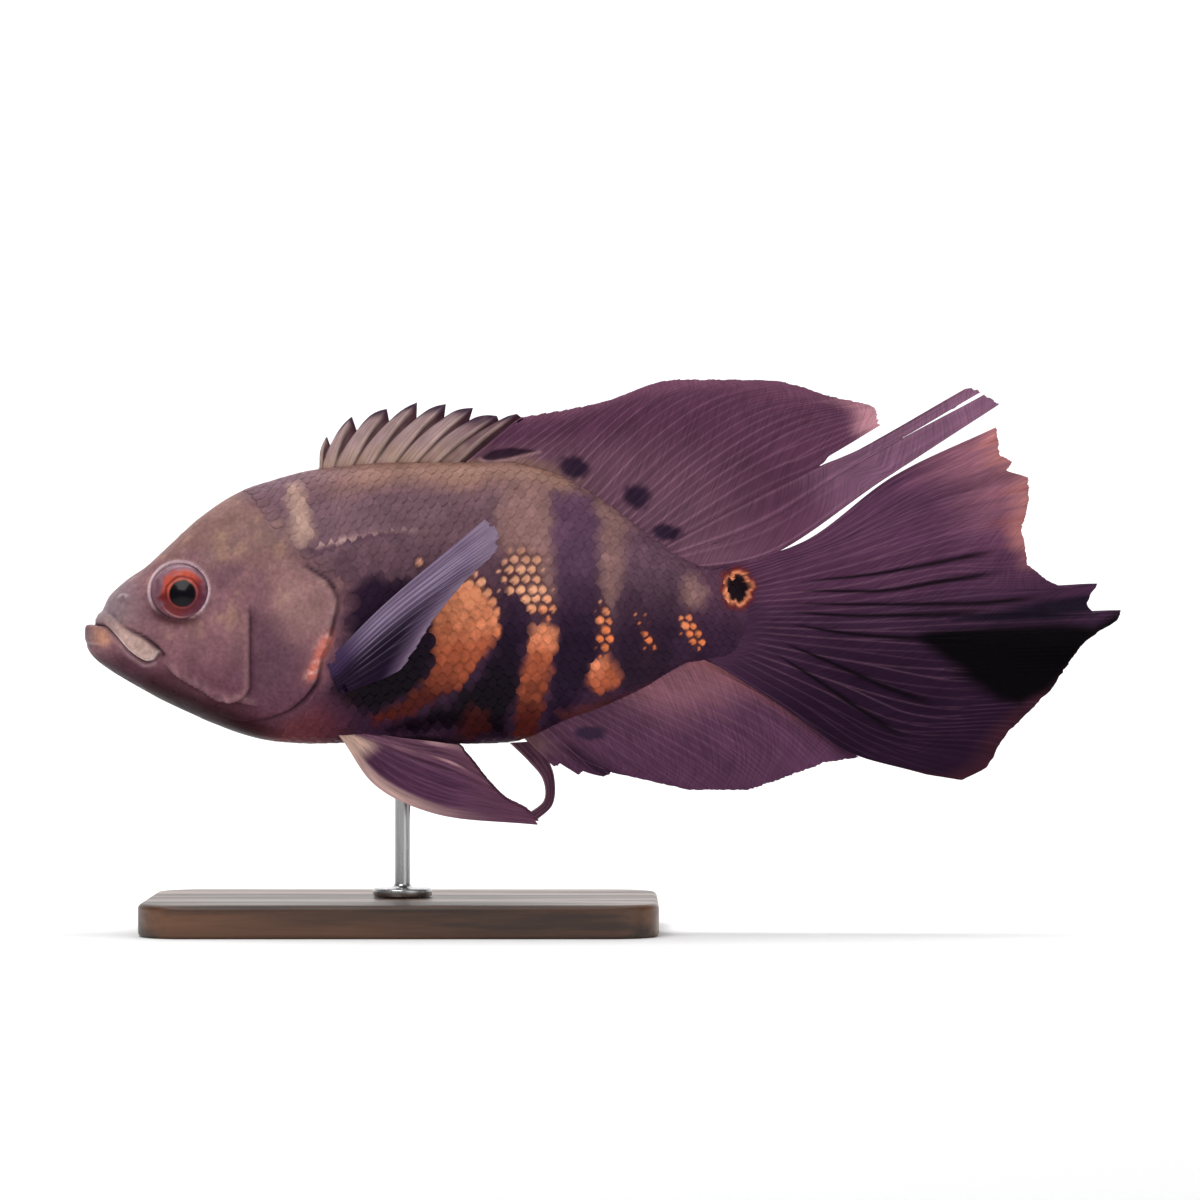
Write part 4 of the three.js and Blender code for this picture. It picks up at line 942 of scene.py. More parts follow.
def make_scales(material):
    roots, behind = scale_roots()
    rng = np.random.default_rng(5)
    tone = rng.normal(1, 0.045, len(roots))
    size = shrink(roots[:, 0]) * rng.normal(1.0, 0.03, len(roots))
    x, y, lift, plate = scale_plate()
    per = len(x)
    s = roots[:, 0, None] + size[:, None] * x
    arc = roots[:, 1, None] + size[:, None] * y
    calm = (0.3 + 0.7 * rise(1, 14, behind))[:, None]
    point, normal = on_body(s, arc)
    top = point + normal * (SKIN_SINKS + lift * calm)[..., None]
    under = top - normal * SCALE_THICK
    root_point, _ = on_body(roots[:, 0], roots[:, 1])
    centre = np.hypot((x - 1.3) / 1.3, y / 1.4)
    edge = rise(0.82, 1.0, np.hypot(x, y) / SCALE_RADIUS) * (x > 0.3)
    for side, turn in (("left", 1), ("right", -1)):
        across = np.array([1, turn, 1])
        shade = scale_colours(root_point * across, point * across, centre, tone, edge)
        for part, chosen in (("front", roots[:, 0] < SCALES_PART), ("rear", roots[:, 0] >= SCALES_PART)):
            body = np.stack([top[chosen], under[chosen]], 1) * across
            vertices = place(body[..., 0], body[..., 1], body[..., 2]).reshape(-1, 3)
            faces = (plate[None] + 2 * per * np.arange(chosen.sum())[:, None, None]).reshape(-1, 4)
            faces = faces if turn > 0 else faces[:, ::-1]
            at = BAKE_FROM + BAKE_SPAN * np.c_[
                roots[chosen, 0] / BAKE_LENGTH, 0.5 + turn * (roots[chosen, 1] / BAKE_ROUND - 0.25)
            ]
            patch = np.c_[x, turn * y] / (2 * SCALE_RADIUS) * PATCH
            uv = np.repeat((at[:, None] + patch)[:, None], 2, 1).reshape(-1, 2)
            paint = np.repeat(shade[chosen][:, None], 2, 1).reshape(-1, 3)
            make_piece(f"scales_{side}_{part}", vertices, faces, material, paint=paint, uv=uv)


# Fins
def through(points, v):
    """The curve through four points as the frame's fins have it: centripetal, at a share v of its length."""
    p = np.asarray(points, float)
    before, after = 2 * p[0] - p[1], 2 * p[-1] - p[-2]
    p = np.vstack([before, p, after])
    at = np.asarray(v, float) * (len(p) - 3)
    i = np.clip(at.astype(int), 0, len(p) - 4)
    w = (at - i)[..., None]
    a, b, c, d = p[i], p[i + 1], p[i + 2], p[i + 3]
    gap = [
        np.maximum(np.linalg.norm(q - r, axis=-1, keepdims=True) ** 0.5, 1e-6)
        for q, r in ((b, a), (c, b), (d, c))
    ]
    start = ((b - a) / gap[0] - (c - a) / (gap[0] + gap[1]) + (c - b) / gap[1]) * gap[1]
    end = ((c - b) / gap[1] - (d - b) / (gap[1] + gap[2]) + (d - c) / gap[2]) * gap[1]
    return b + start * w + (3 * (c - b) - 2 * start - end) * w**2 + (2 * (b - c) + start + end) * w**3


def fin_plan(ribs, margin=None, bend_from=0.55):
    """A function from (u, v) to points seen from the side: u across the rays, v from root to margin."""

    def plan(u, v):
        deep = np.clip(v, 0, 1)
        at_ribs = [(rib[0], through(rib[1:], deep)) for rib in ribs]
        points = track(at_ribs)(u)
        if margin is not None:
            end = track([(rib[0], through(rib[1:], np.array([1.0]))[0]) for rib in ribs])(u)
            at, *edge = np.array(margin, float).T
            edge = np.stack([np.interp(u, at, line) for line in edge], -1)
            points = points + (edge - end)[:, None] * rise(bend_from, 1, deep)[None, :, None]
        near_root = track([(rib[0], through(rib[1:], np.array([0.02]))[0]) for rib in ribs])(u)
        root = track([(rib[0], np.array(rib[1], float)) for rib in ribs])(u)
        inward = (root - near_root) / np.linalg.norm(root - near_root, axis=-1, keepdims=True)
        return points + inward[:, None] * np.clip(-v, 0, None)[None, :, None]

    return plan


def ray_field(u, v, metric, first, last, rays, seed, split=(0.42, 0.72), width=(0.34, 0.17)):
    """How much of a ray each point of a fin holds, 1 on its crest, for rays that fork twice."""
    rng = np.random.default_rng(seed)
    spacing = (last - first) / (rays - 1)
    at = (u - first) / spacing
    k = np.clip(np.round(at), 0, rays - 1).astype(int)
    local = (at - k)[:, None]
    fork1 = split[0] + rng.uniform(-0.06, 0.06, rays)[k][:, None]
    fork2 = split[1] + rng.uniform(-0.05, 0.05, rays)[k][:, None]
    lean = rng.uniform(-0.05, 0.05, rays)[k][:, None]
    strength = rng.uniform(0.45, 1, rays)[k][:, None]
    v = np.clip(v, 0, 1)[None, :]
    apart1 = 0.25 * rise(0, 0.35, v - fork1)
    apart2 = 0.125 * rise(0, 0.22, v - fork2)
    millimetres = metric * spacing
    reach = width[0] + (width[1] - width[0]) * v
    crest = np.zeros(local.shape[:1] + v.shape[1:])
    for a, b in itertools.product((-1, 1), repeat=2):
        gap = np.abs(local - lean * rise(0.2, 1, v) - a * apart1 - b * apart2) * millimetres
        crest = np.maximum(crest, strength * bump(gap, reach))
    return crest


def two_sided(name, middle, half, kept, material, replaces, paint, numbers=None):
    """A closed sheet about a grid of middle points, half as thick to each side as given."""
    normal = normals_of(middle, False)
    sides = [middle + normal * half[..., None], middle - normal * half[..., None]]
    vertices = place(*np.moveaxis(np.concatenate([side.reshape(-1, 3) for side in sides]), -1, 0))
    faces = sheet_faces(kept)
    used = np.unique(faces)
    renumber = np.zeros(len(vertices), int)
    renumber[used] = np.arange(len(used))
    numbers = {
        key: np.tile(np.broadcast_to(n, half.shape).ravel(), 2)[used] for key, n in (numbers or {}).items()
    }
    paint = np.tile(paint.reshape(-1, 3), (2, 1))[used]
    return make_piece(
        name, vertices[used], renumber[faces], material, replaces, np.clip(paint, 0, 1), numbers
    )


def fin_sheet(name, plan, sway, material, paint, seed, rays, size=(300, 100), sink=3.0,
              root_thick=1.9, web=0.5, tip=0.28, ray_height=0.32, ray_width=(0.34, 0.17), ragged=0.6,
              split=(0.42, 0.72), wave=0.25, tears=()):
    """A thin fin with forked rays raised on both faces, ragged at its margin and torn where tears say."""
    columns, rows = size
    u = np.linspace(0, 1, columns)
    u = np.unique(np.r_[u, [edge for tear in tears for edge in tear[:2]]])
    v = np.r_[-sink, np.linspace(0, 1, rows - 1) ** 0.95]
    deep = np.clip(v, 0, 1)[None, :]
    flat = plan(u, v)
    metric = np.linalg.norm(np.gradient(flat, u, axis=0), axis=-1)
    crest = ray_field(u, v, metric, 0.008, 0.992, rays, seed, split, ray_width)
    for start, end, depth, open_by in tears:
        rims = [flat[np.argmin(np.abs(u - at))] for at in (start, end)]
        centre = (rims[0] + rims[1]) / 2
        shut = 1 - rise(depth, open_by, v)
        for at, rim, way in ((start, rims[0], -1), (end, rims[1], 1)):
            near_rim = ((u - at) * way >= -1e-9) * np.exp(-np.abs(u - at) / 0.02)
            pull = near_rim[:, None, None] * (0.94 * shut * (v > 0))[None, :, None]
            flat = flat + pull * (centre - rim)[None]
    inward = flat[:, -6] - flat[:, -1]
    inward = inward / np.linalg.norm(inward, axis=-1, keepdims=True)
    fringe = np.random.default_rng(seed).uniform(0, 1, rays * 5) ** 2
    cut = np.interp(u * (len(fringe) - 1), np.arange(len(fringe)), fringe)
    notch = ragged * (1.5 * cut + 0.8 * (1 - crest[:, -1]))
    flat = flat + inward[:, None] * (notch[:, None] * rise(0.75, 1, deep))[..., None]
    middle = np.stack([flat[..., 0], sway(u[:, None], deep), flat[..., 1]], -1)
    middle[..., 1] += wave * rise(0, 0.4, deep) * noise(middle * (1, 0, 1), 7, seed)
    fleshy = np.clip(1 - deep / 0.14, 0, 1) ** 2 * (root_thick - 0.9)
    membrane = web + (tip - web) * rise(0.1, 0.95, deep)
    ridge = ray_height * (1 - 0.7 * deep) * crest
    half = (0.5 * membrane + ridge + 0.5 * fleshy) * (0.4 + 0.6 * rise(0, 0.03, 1 - deep))
    kept = np.ones((len(u) - 1, len(v) - 1), bool)
    for start, end, depth, _ in tears:
        between = (u[:-1] >= start - 1e-6) & (u[1:] <= end + 1e-6)
        kept &= ~(between[:, None] & (v[:-1] > depth)[None, :])
    tone = paint(u[:, None] + 0 * deep, deep + 0 * u[:, None], flat[..., 0], flat[..., 1], crest)
    along = np.cumsum(np.r_[0, np.linalg.norm(np.diff(flat.mean(0), axis=0), axis=-1)])
    across = np.cumsum(np.vstack([np.zeros(len(v)), np.linalg.norm(np.diff(flat, axis=0), axis=-1)]), axis=0)
    numbers = {"crest": crest, "along": along[None, :], "across": across}
    return two_sided(name, middle, half, kept, material, (name,), tone, numbers)


def fin_material(name, rough=(0.4, 0.55), streak=0.36, coat=0.02):
    """Membrane between rays: streaks along the rays, and fine cross joints on their crests."""
    n = Nodes(name)
    paint = n.add("Attribute", attribute_name="paint").outputs["Color"]
    crest, along, across = n.number("crest"), n.number("along"), n.number("across")
    stretched = {"X": n.math("MULTIPLY", along, 0.09), "Y": n.math("MULTIPLY", across, 1.5)}
    fibres = n.noise(1.0, 6, n.add("CombineXYZ", stretched).outputs[0], 0.72)
    blotch = n.noise(150, 3)
    fine, broad = n.spread(fibres, 0.3, 0.7, 1 - streak, 1 + streak), n.spread(blotch, 0.3, 0.7, 0.93, 1.07)
    shade = n.math("MULTIPLY", fine, broad)
    joints = n.math("MULTIPLY", n.math("SINE", n.math("MULTIPLY", along, 8.0)), crest)
    normal = n.bump(joints, 0.00004, 0.5, n.bump(fibres, 0.00012, 0.6))
    n.set(Base_Color=n.tint(paint, shade), Roughness=n.spread(fibres, 0.3, 0.7, *rough), Normal=normal)
    n.set(Coat_Weight=coat, Coat_Roughness=0.2, Specular_IOR_Level=0.04)
    return n.material


DORSAL_SOFT = [
    (0, (116.4, 110.9), (122.6, 116.2), (128.6, 121.2), (133.6, 124.9)),
    (0.15, (131.3, 111.1), (140.5, 117.6), (148.1, 123.1), (157.3, 129.2)),
    (0.3, (143.8, 107.2), (154.2, 117.6), (166.4, 128.2), (181.7, 136.3)),
    (0.45, (154.2, 101.7), (169.5, 117.6), (187.8, 130.4), (208.5, 135.9)),
    (0.6, (163.4, 95.6), (184.7, 114.5), (206.1, 127.3), (228.1, 131)),
    (0.75, (171, 89.5), (195.4, 108.4), (219.8, 122.1), (241.5, 127.3)),
    (0.87, (176.5, 85.2), (201.5, 99.2), (224.4, 111.1), (243.4, 122.4)),
    (0.885, (177.1, 84.6), (202.1, 98), (231, 111.9), (269.6, 133.7)),
    (0.94, (179.8, 82.4), (206.7, 91.6), (234.2, 109), (274.5, 131.9)),
    (1, (182.9, 77.6), (207.6, 81.5), (243.6, 105.2), (279.4, 128.6)),
]
# Tears, each between two rays, from a share of their length, and the share at which it is fully open
DORSAL_TEARS = ((0.87, 0.885, 0.62, 0.72), (0.93, 0.945, 0.8, 1.02))
CAUDAL = [
    (0, (192, 78.3), (219.4, 86.6), (246.8, 106.5), (278.8, 121.8)),
    (0.2, (198.5, 74.8), (230.5, 85.5), (261.1, 97.7), (289.8, 104.7)),
    (0.4, (200.6, 69.3), (233.6, 73.3), (264.1, 80.9), (287.3, 87)),
    (0.5, (201.5, 65.6), (235.1, 67.2), (267.2, 71.8), (297.7, 73)),
    (0.6, (201.8, 62), (235.1, 62), (270.2, 64.1), (310, 65.3)),
    (0.7, (201.2, 58.3), (233.6, 55), (267.2, 53.4), (305.6, 53.4)),
    (0.8, (200, 55), (230.5, 46.7), (261.1, 39.7), (295.3, 40.9)),
    (0.9, (197.6, 52.2), (222.9, 39.7), (248.9, 26), (276.3, 18.3)),
    (1, (190.5, 50.3), (211.6, 37.1), (233.6, 22.3), (264.1, 12.8)),
]
CAUDAL_MARGIN = [
    (0, 278.8, 121.8), (0.08, 279.8, 113.5), (0.12, 283.5, 111), (0.15, 282, 108.5), (0.17, 288.5, 106.3),
    (0.24, 288.6, 100.5), (0.29, 288, 96.8), (0.35, 286.3, 91), (0.42, 288, 79.6), (0.47, 294, 75),
    (0.5, 299.5, 72.2), (0.528, 309.8, 73.8), (0.556, 306.4, 67.8), (0.583, 308.6, 64.6),
    (0.6115, 317.2, 65.6), (0.639, 316.8, 62.6), (0.667, 311, 59), (0.7, 305, 54.4), (0.8, 295.3, 41),
    (0.88, 282, 28), (0.93, 276, 17.5), (0.96, 268, 13.6), (1, 257, 15.4),
]
ANAL = [
    (0, (135, 25.6), (137.7, 22.9), (140.8, 19.8), (143.8, 16.8)),
    (0.12, (140.5, 28.7), (145, 24.4), (151.1, 19.2), (157.3, 14.7)),
    (0.3, (149.6, 33), (160.9, 26), (172.5, 18.3), (184.7, 10.4)),
    (0.5, (159.4, 36.9), (174, 29.6), (189.3, 20.8), (203.1, 10.4)),
    (0.7, (169.5, 41.5), (186.3, 35.1), (203.1, 26), (216.8, 15.3)),
    (0.85, (179, 46.6), (196.5, 40.2), (212.8, 30.9), (226.6, 18.8)),
    (1, (189.5, 50.6), (203.5, 43.7), (219.5, 33.2), (236.8, 20.3)),
]
ANAL_MARGIN = [
    (0, 143.6, 17.4), (0.03, 145.5, 18.4), (0.07, 151, 15), (0.09, 152.5, 16), (0.13, 159, 14.2),
    (0.15, 161, 15.8), (0.3, 184.7, 10.4), (0.5, 203.1, 10.4), (0.7, 215.6, 14.8), (0.85, 226.6, 18.8),
    (1, 236.8, 20.3),
]
PELVIC = [
    (0, (79.1, 26), (88.9, 12.5), (106.9, 4), (138.9, 0.6)),
    (0.25, (80.9, 26.6), (93.1, 15.9), (109.9, 8.5), (135.3, 4.6)),
    (0.5, (82.7, 27.2), (96.8, 19.2), (112.1, 13.1), (128.2, 8.5)),
    (0.75, (84.6, 27.8), (98.6, 22.6), (112.1, 18.6), (123.7, 13.1)),
    (1, (86.4, 28.6), (96.4, 26.9), (106, 25.8), (114.8, 24.6)),
]
PECTORAL = [
    (0, (76.6, 51.9), (91.6, 66.6), (108.4, 80.9), (123.7, 93.4)),
    (0.2, (77.6, 50.1), (93.7, 65.3), (110.8, 78.5), (127, 90.1)),
    (0.4, (78.5, 47.9), (95, 62.6), (111.5, 74.8), (127.3, 85.2)),
    (0.6, (79.4, 45.5), (92.5, 56.2), (103.8, 65), (116.9, 74.2)),
    (0.8, (80.3, 43.4), (89.5, 48.9), (98.6, 55), (107.2, 62)),
    (1, (81.5, 41.2), (87.6, 43.4), (93.7, 45.8), (99.2, 48.9)),
]
PELVIC_ROOT_OUT, PELVIC_TIP_OUT = 6.5, 14.0
PECTORAL_TIP_OUT = 14.0
FIN_PALE = colour(142, 102, 122)


def dorsal_sway(u, v):
    return -2.8 * u * v**1.5 + 0.9 * np.sin(7 * u + 1) * v


def caudal_sway(u, v):
    return 2.4 * v * v * np.sin(9 * u + 1.4) + 6.5 * v**1.6 * np.exp(-(((u - 0.66) / 0.085) ** 2))


def anal_sway(u, v):
    return 3.2 * u * u * v**0.4 + 0.9 * np.sin(6 * u) * v


def between_rays(tone, crest, v, gain=0.5, cut=0.22):
    """Rays paler and webs darker, less so towards the margin."""
    strength = 1 - 0.65 * v
    pale = mix(tone, FIN_PALE, gain * strength * crest)
    return pale * (1 - cut * strength * (1 - crest))[..., None]


def streaks(u, v, fine, seed):
    """Noise in streaks along the rays."""
    coarse = noise(np.stack([u * fine, v * 2.2, 0 * u], -1), 1.0, seed)
    return coarse + 0.6 * noise(np.stack([u * fine * 2.3, v * 3.5, 0 * u], -1), 1.0, seed + 1)


def blot(s, h, centre, radii, tilt=0.0, soft=0.35, seed=20):
    """An oval spot with an uneven edge, 1 inside."""
    ds, dh = s - centre[0], h - centre[1]
    a, b = ds * np.cos(tilt) + dh * np.sin(tilt), dh * np.cos(tilt) - ds * np.sin(tilt)
    rough = 0.16 * side_noise(s, h, 1.6, seed)
    return rise(1 + soft, 1 - soft, np.hypot(a / radii[0], b / radii[1]) + rough)


DORSAL_SPOTS = (
    ((149.2, 109.2), (4.7, 3.2), -0.15), ((168.5, 100.2), (4.1, 3.7), -0.3),
    ((177.6, 89.4), (4.8, 2.4), -0.1),
)
DORSAL_SLIT = [
    (120.5, 111.8), (124.3, 114.3), (129.8, 115.2), (135.9, 114.6), (138.9, 113.9), (134.4, 112.9),
    (128.2, 111.4), (123.1, 110.8),
]


def dorsal_paint(u, v, s, h, crest):
    streak = streaks(u, v, 46, 40)
    tone = mix(colour(112, 76, 94), colour(92, 54, 78), rise(0.05, 0.5, v))
    tone = layered(tone, [
        ((112, 70, 92), rise(0.6, 1, v) * rise(0.75, 0.4, u)),
        ((186, 132, 142), rise(0.84, 0.98, v + 0.03 * streak) * rise(0.55, 0.8, u) * rise(0.9, 0.86, u)),
        ((122, 84, 108), rise(0.88, 0.9, u) * rise(0.4, 0.7, v)),
        ((140, 104, 98), rise(0.12, 0.0, v) * rise(0.5, 0.2, u)),
    ])
    tone = between_rays(tone, crest, v, 0.6, 0.26)
    tone = tone * (1.1 + 0.16 * streak + 0.12 * rise(0.7, 1, v) + 0.1 * rise(0.9, 0.94, u))[..., None]
    for centre, radii, tilt in DORSAL_SPOTS:
        tone = mix(tone, colour(34, 20, 42), 0.92 * blot(s, h, centre, radii, tilt))
    tone = layered(tone, [
        ((40, 20, 38), 0.92 * rise(-0.6, 0.5, inside(DORSAL_SLIT, s, h))),
        ((176, 136, 140), 0.6 * bump(near(smooth_line(DORSAL_SLIT[4:] + DORSAL_SLIT[:1]), s, h)[0], 0.5)),
    ])
    return np.clip(tone * (1.06 + 0.07 * side_noise(s, h, 9, 3))[..., None], 0, 1)


# The tail fin's black patch below its fold: partly its own black pigment and partly painted shade where the
# fin turns away from the light.
CAUDAL_BLACK = [
    (258, 56.5), (267.2, 58.9), (279.4, 60.8), (297.7, 61.6), (309, 60.6), (317.3, 66), (318, 61),
    (306.9, 55.5), (303.2, 50.4), (294.7, 41.2), (285.5, 36.6), (279.4, 38.2), (271.8, 44.3),
    (264.1, 49.8),
]
# A dark band along the tail fin's fold: painted shade.
CAUDAL_FOLD_SHADE = [
    (265, 62.4), (279.4, 65.9), (291.6, 67.8), (306.3, 70), (309, 65), (294.7, 62.8), (279.4, 61.8),
]
# Lines along the rays where the tail fin creases; they are painted dark as shade.
CAUDAL_CREASES = (
    [(216, 74), (240, 76.5), (262, 80.5), (282, 84.5)],
    [(214, 71.5), (240, 71.4), (262, 74.5), (284, 78)],
    [(212, 67.6), (240, 67.4), (272, 67.8), (299, 70.8)],
    [(212, 65.2), (236, 64), (258, 64.2), (278, 65.5)],
    [(212, 62), (236, 58.2), (256, 57), (272, 57)],
    [(210, 57), (228, 49.5), (246, 41.5), (262, 36)],
    [(208, 54), (224, 44), (240, 33), (252, 26)],
)


def caudal_paint(u, v, s, h, crest):
    streak = streaks(u, v, 40, 30)
    # The upper half paler and the lower half, turned away under the fold, darker: painted light and painted
    # shade. The pink towards the upper margin is partly the fin's own colour and partly painted light.
    tone = mix(colour(66, 38, 64), colour(94, 56, 84), rise(0.62, 0.3, u + 0.03 * streak))
    tone = layered(tone, [
        ((40, 19, 42), rise(0.5, 0.85, u + 0.04 * streak) * rise(0.0, 0.45, v)),
        ((156, 102, 118), rise(0.62, 0.98, v + 0.06 * streak) * rise(0.42, 0.18, u)),
        ((196, 128, 124), 0.8 * rise(0.9, 1.02, v + 0.05 * streak) * rise(0.46, 0.38, u)),
        ((120, 56, 56), 0.5 * rise(0.1, 0.8, streak) * rise(0.8, 0.9, v) * rise(0.46, 0.38, u)),
        ((62, 30, 42), rise(0.9, 1, v) * rise(0.7, 0.8, u)),
    ])
    tone = between_rays(tone, crest, v, 0.34, 0.2)
    tone = tone * (1 + 0.2 * streak + 0.14 * rise(0.14, 0.0, u))[..., None]
    # Dark lines in the creases: painted shade.
    for crease in CAUDAL_CREASES:
        gap, share, _ = near_curve(crease, s, h, 2)
        line = bump(gap, 0.35 + 0.75 * share) * rise(0, 0.2, share) * rise(1, 0.8, share)
        tone = mix(tone, colour(12, 4, 13), 0.95 * line)
    # The dark band along the fold: painted shade.
    tone = mix(tone, colour(20, 13, 29), 0.92 * rise(-1.5, 1.5, inside(CAUDAL_FOLD_SHADE, s, h) + streak))
    # The black patch: partly pigment, partly painted shade.
    dark = inside(CAUDAL_BLACK, s, h) + 2.5 * streak * rise(285, 262, s)
    tone = layered(tone, [
        ((4, 1, 5), 0.99 * rise(rise(262, 285, s) * 3 - 5, 2.0, dark)),
        ((72, 44, 68), rise(0.1, 0.0, v)),
    ])
    tone = with_ocellus(tone, s, h)
    return np.clip(tone * (1 + 0.08 * side_noise(s, h, 8, 4))[..., None], 0, 1)


def anal_paint(u, v, s, h, crest):
    streak = streaks(u, v, 34, 50)
    tone = mix(colour(98, 62, 86), colour(86, 50, 78), v)
    tone = layered(tone, [
        ((148, 98, 112), rise(0.55, 0.1, v + 0.1 * streak) * rise(0.45, 0.75, u)),
        ((150, 92, 98), rise(0.86, 1.0, u) * rise(0.95, 0.5, v) * 0.7),
        ((112, 80, 84), rise(0.16, 0.0, u) * rise(0.7, 0.2, v)),
    ])
    tone = between_rays(tone, crest, v, 0.36, 0.16)
    tone = tone * (1.06 + 0.18 * streak)[..., None]
    tone = layered(tone, [
        ((36, 20, 40), 0.85 * rise(0.05, 0.0, np.abs(u - 0.14)) * rise(0.2, 0.5, v) * (1 - crest)),
        ((52, 36, 60), 0.9 * blot(s, h, (154.2, 28.1), (4.6, 2.0), -0.05)),
    ])
    return np.clip(tone * (1 + 0.07 * side_noise(s, h, 9, 5))[..., None], 0, 1)


def pelvic_paint(u, v, s, h, crest):
    streak = streaks(u, v, 18, 60)
    tone = mix(colour(86, 50, 78), colour(118, 78, 98), rise(0.5, 0.95, u + 0.05 * streak))
    tone = layered(tone, [
        ((210, 172, 166), rise(0.19, 0.05, u + 0.03 * streak) * rise(0.95, 0.4, v)),
        ((206, 160, 160), 0.8 * rise(0.1, 0.9, streak) * rise(0.55, 0.8, u) * rise(0.15, 0.45, v)),
        ((60, 32, 54), 0.6 * rise(0, -0.9, streak) * rise(0.4, 0.7, u)),
        ((226, 190, 172), rise(0.2, 0.06, v) * rise(0.8, 0.4, u)),
        ((190, 148, 154), rise(0.94, 0.99, u) * rise(0.5, 0.7, v)),
        ((104, 64, 82), rise(0.62, 1, v) * 0.6),
    ])
    tone = between_rays(tone, crest, v, 0.3, 0.3)
    return np.clip(tone * (1.12 + 0.2 * streak)[..., None], 0, 1)


def pectoral_paint(u, v, s, h, crest):
    streak = streaks(u, v, 22, 70)
    tone = mix(colour(66, 46, 82), colour(122, 98, 128), rise(0.0, 0.45, v + 0.1 * streak))
    tone = layered(tone, [
        ((140, 118, 142), rise(0.75, 1, v)),
        ((34, 18, 42), rise(0.3, 0.62, u + 0.06 * streak) * rise(1.0, 0.5, v)),
        (
            (176, 162, 188),
            0.7 * crest * rise(0.05, 0.25, v) * (1 - 0.5 * rise(0.7, 1, v)) * rise(0.9, 0.35, u),
        ),
    ])
    tone = tone * (1 - 0.2 * (1 - crest))[..., None]
    return np.clip(tone * (1 + 0.13 * streak)[..., None], 0, 1)


def make_big_fins(material):
    fin_sheet(
        "dorsal_fin_soft", fin_plan(DORSAL_SOFT), dorsal_sway, material, dorsal_paint, 21, 30,
        (380, 112), root_thick=2.8, tears=DORSAL_TEARS, split=(0.5, 0.78),
    )
    fin_sheet(
        "caudal_fin", fin_plan(CAUDAL, CAUDAL_MARGIN), caudal_sway, material, caudal_paint, 31, 26,
        (420, 112), sink=1.0, root_thick=3.8, split=(0.28, 0.6), ragged=0.4,
    )
    fin_sheet(
        "anal_fin", fin_plan(ANAL, ANAL_MARGIN), anal_sway, material, anal_paint, 41, 24, (300, 84),
        root_thick=2.8, split=(0.45, 0.75), ragged=0.4,
    )


def make_paired_fins(material, pale_material):
    out_at_root = float(side_at(np.array(78.5), np.array(48.0))) - 0.6
    for side, name in ((-1, "left"), (1, "right")):
        lean = 1 if side < 0 else 0.93

        def pelvic_sway(u, v):
            reach = PELVIC_ROOT_OUT + (PELVIC_TIP_OUT * lean - PELVIC_ROOT_OUT) * v
            return side * (reach - 5.5 * u * v + u * 0.5)

        def pectoral_sway(u, v):
            folds = 0.45 * np.sin(u * 9 * np.pi) * v
            return side * (out_at_root + PECTORAL_TIP_OUT * v**0.85 * (1 - 0.3 * u) + folds)

        fin_sheet(
            f"pelvic_fin_{name}", fin_plan(PELVIC), pelvic_sway, material, pelvic_paint, 51, 9, (130, 100),
            sink=6.0, root_thick=2.4, split=(0.3, 0.6), ray_height=0.4, ray_width=(0.5, 0.2), ragged=0.3,
        )
        fin_sheet(
            f"pectoral_fin_{name}", fin_plan(PECTORAL), pectoral_sway, pale_material, pectoral_paint, 61, 12,
            (140, 100), root_thick=2.2, split=(0.4, 0.8), ray_height=0.28,
            ray_width=(0.38, 0.18), ragged=0.9,
        )


# The streamer of the right pelvic fin, which curls up behind its tip
STREAMER = [
    [(137.4, 0.7), (142.6, 5.8), (143.1, 14.6), (140.8, 20.6), (137, 25.4)],
    [(134.4, 2.4), (140, 7), (139.8, 13.4), (135.6, 19), (129.6, 25)],
]
STREAMER_IN = 9.0


def make_streamer(material):
    across, along = np.linspace(0, 1, 17)[:, None], np.linspace(0, 1, 90)
    outer, inner = (through(line, along) for line in STREAMER)
    flat = outer[None] + (inner - outer)[None] * across[..., None]
    lean = STREAMER_IN * rise(0.1, 1, along)
    side = PELVIC_TIP_OUT - 0.6 - lean[None, :] + 0.5 * np.sin(across * np.pi)
    middle = np.stack([flat[..., 0], side, flat[..., 1]], -1)
    crest = 0.5 + 0.5 * np.cos(across * 6 * np.pi) + 0 * along
    half = (0.2 + 0.16 * crest) * (0.5 + 0.5 * rise(0, 0.1, across) * rise(1, 0.9, across))
    tone = mix(colour(92, 58, 78), colour(128, 88, 108), crest * 0.6)
    tone = mix(tone, colour(150, 110, 122), rise(0.8, 1, across) + 0 * along)
    kept = np.ones((len(across) - 1, len(along) - 1), bool)
    numbers = {"crest": crest, "along": along[None, :] * 30, "across": across * 3}
    name = "pelvic_streamer_right"
    return two_sided(name, middle, half, kept, material, (name,), tone, numbers)


# The spiny front of the dorsal fin: each spine's root and tip, the nick behind it, and its flap's bulge
SPINE_ROOTS = [
    (71.8, 109), (75.4, 109.4), (81.2, 109.9), (87.3, 110.3), (94, 110.6), (100.5, 110.8), (107.2, 110.9),
    (113.6, 110.9),
]
SPINE_TIPS = [
    (73.9, 118.5), (81.5, 124.7), (92.2, 127), (101.4, 129), (110.2, 128.5), (118.5, 127.3),
    (125.8, 124.9), (131.9, 125.5),
]
SPINE_NICKS = [
    (75.6, 113.9), (83.4, 119.1), (93, 122.7), (101.2, 123.9), (109.6, 124), (117.3, 123.4),
    (126.4, 123.2),
]
FLAP_BULGES = [
    (77.4, 120.2), (86.6, 124.6), (96.4, 126.4), (105.4, 127.2), (113.4, 126.6), (121.2, 125),
    (129, 124.8),
]
SPINE_BOW = 1.4
NICK_AT = 0.14
LAST_FLAP = {"u": 0.3, "root": (116.9, 110.9), "top": (133.9, 124.0), "bow": -0.6}


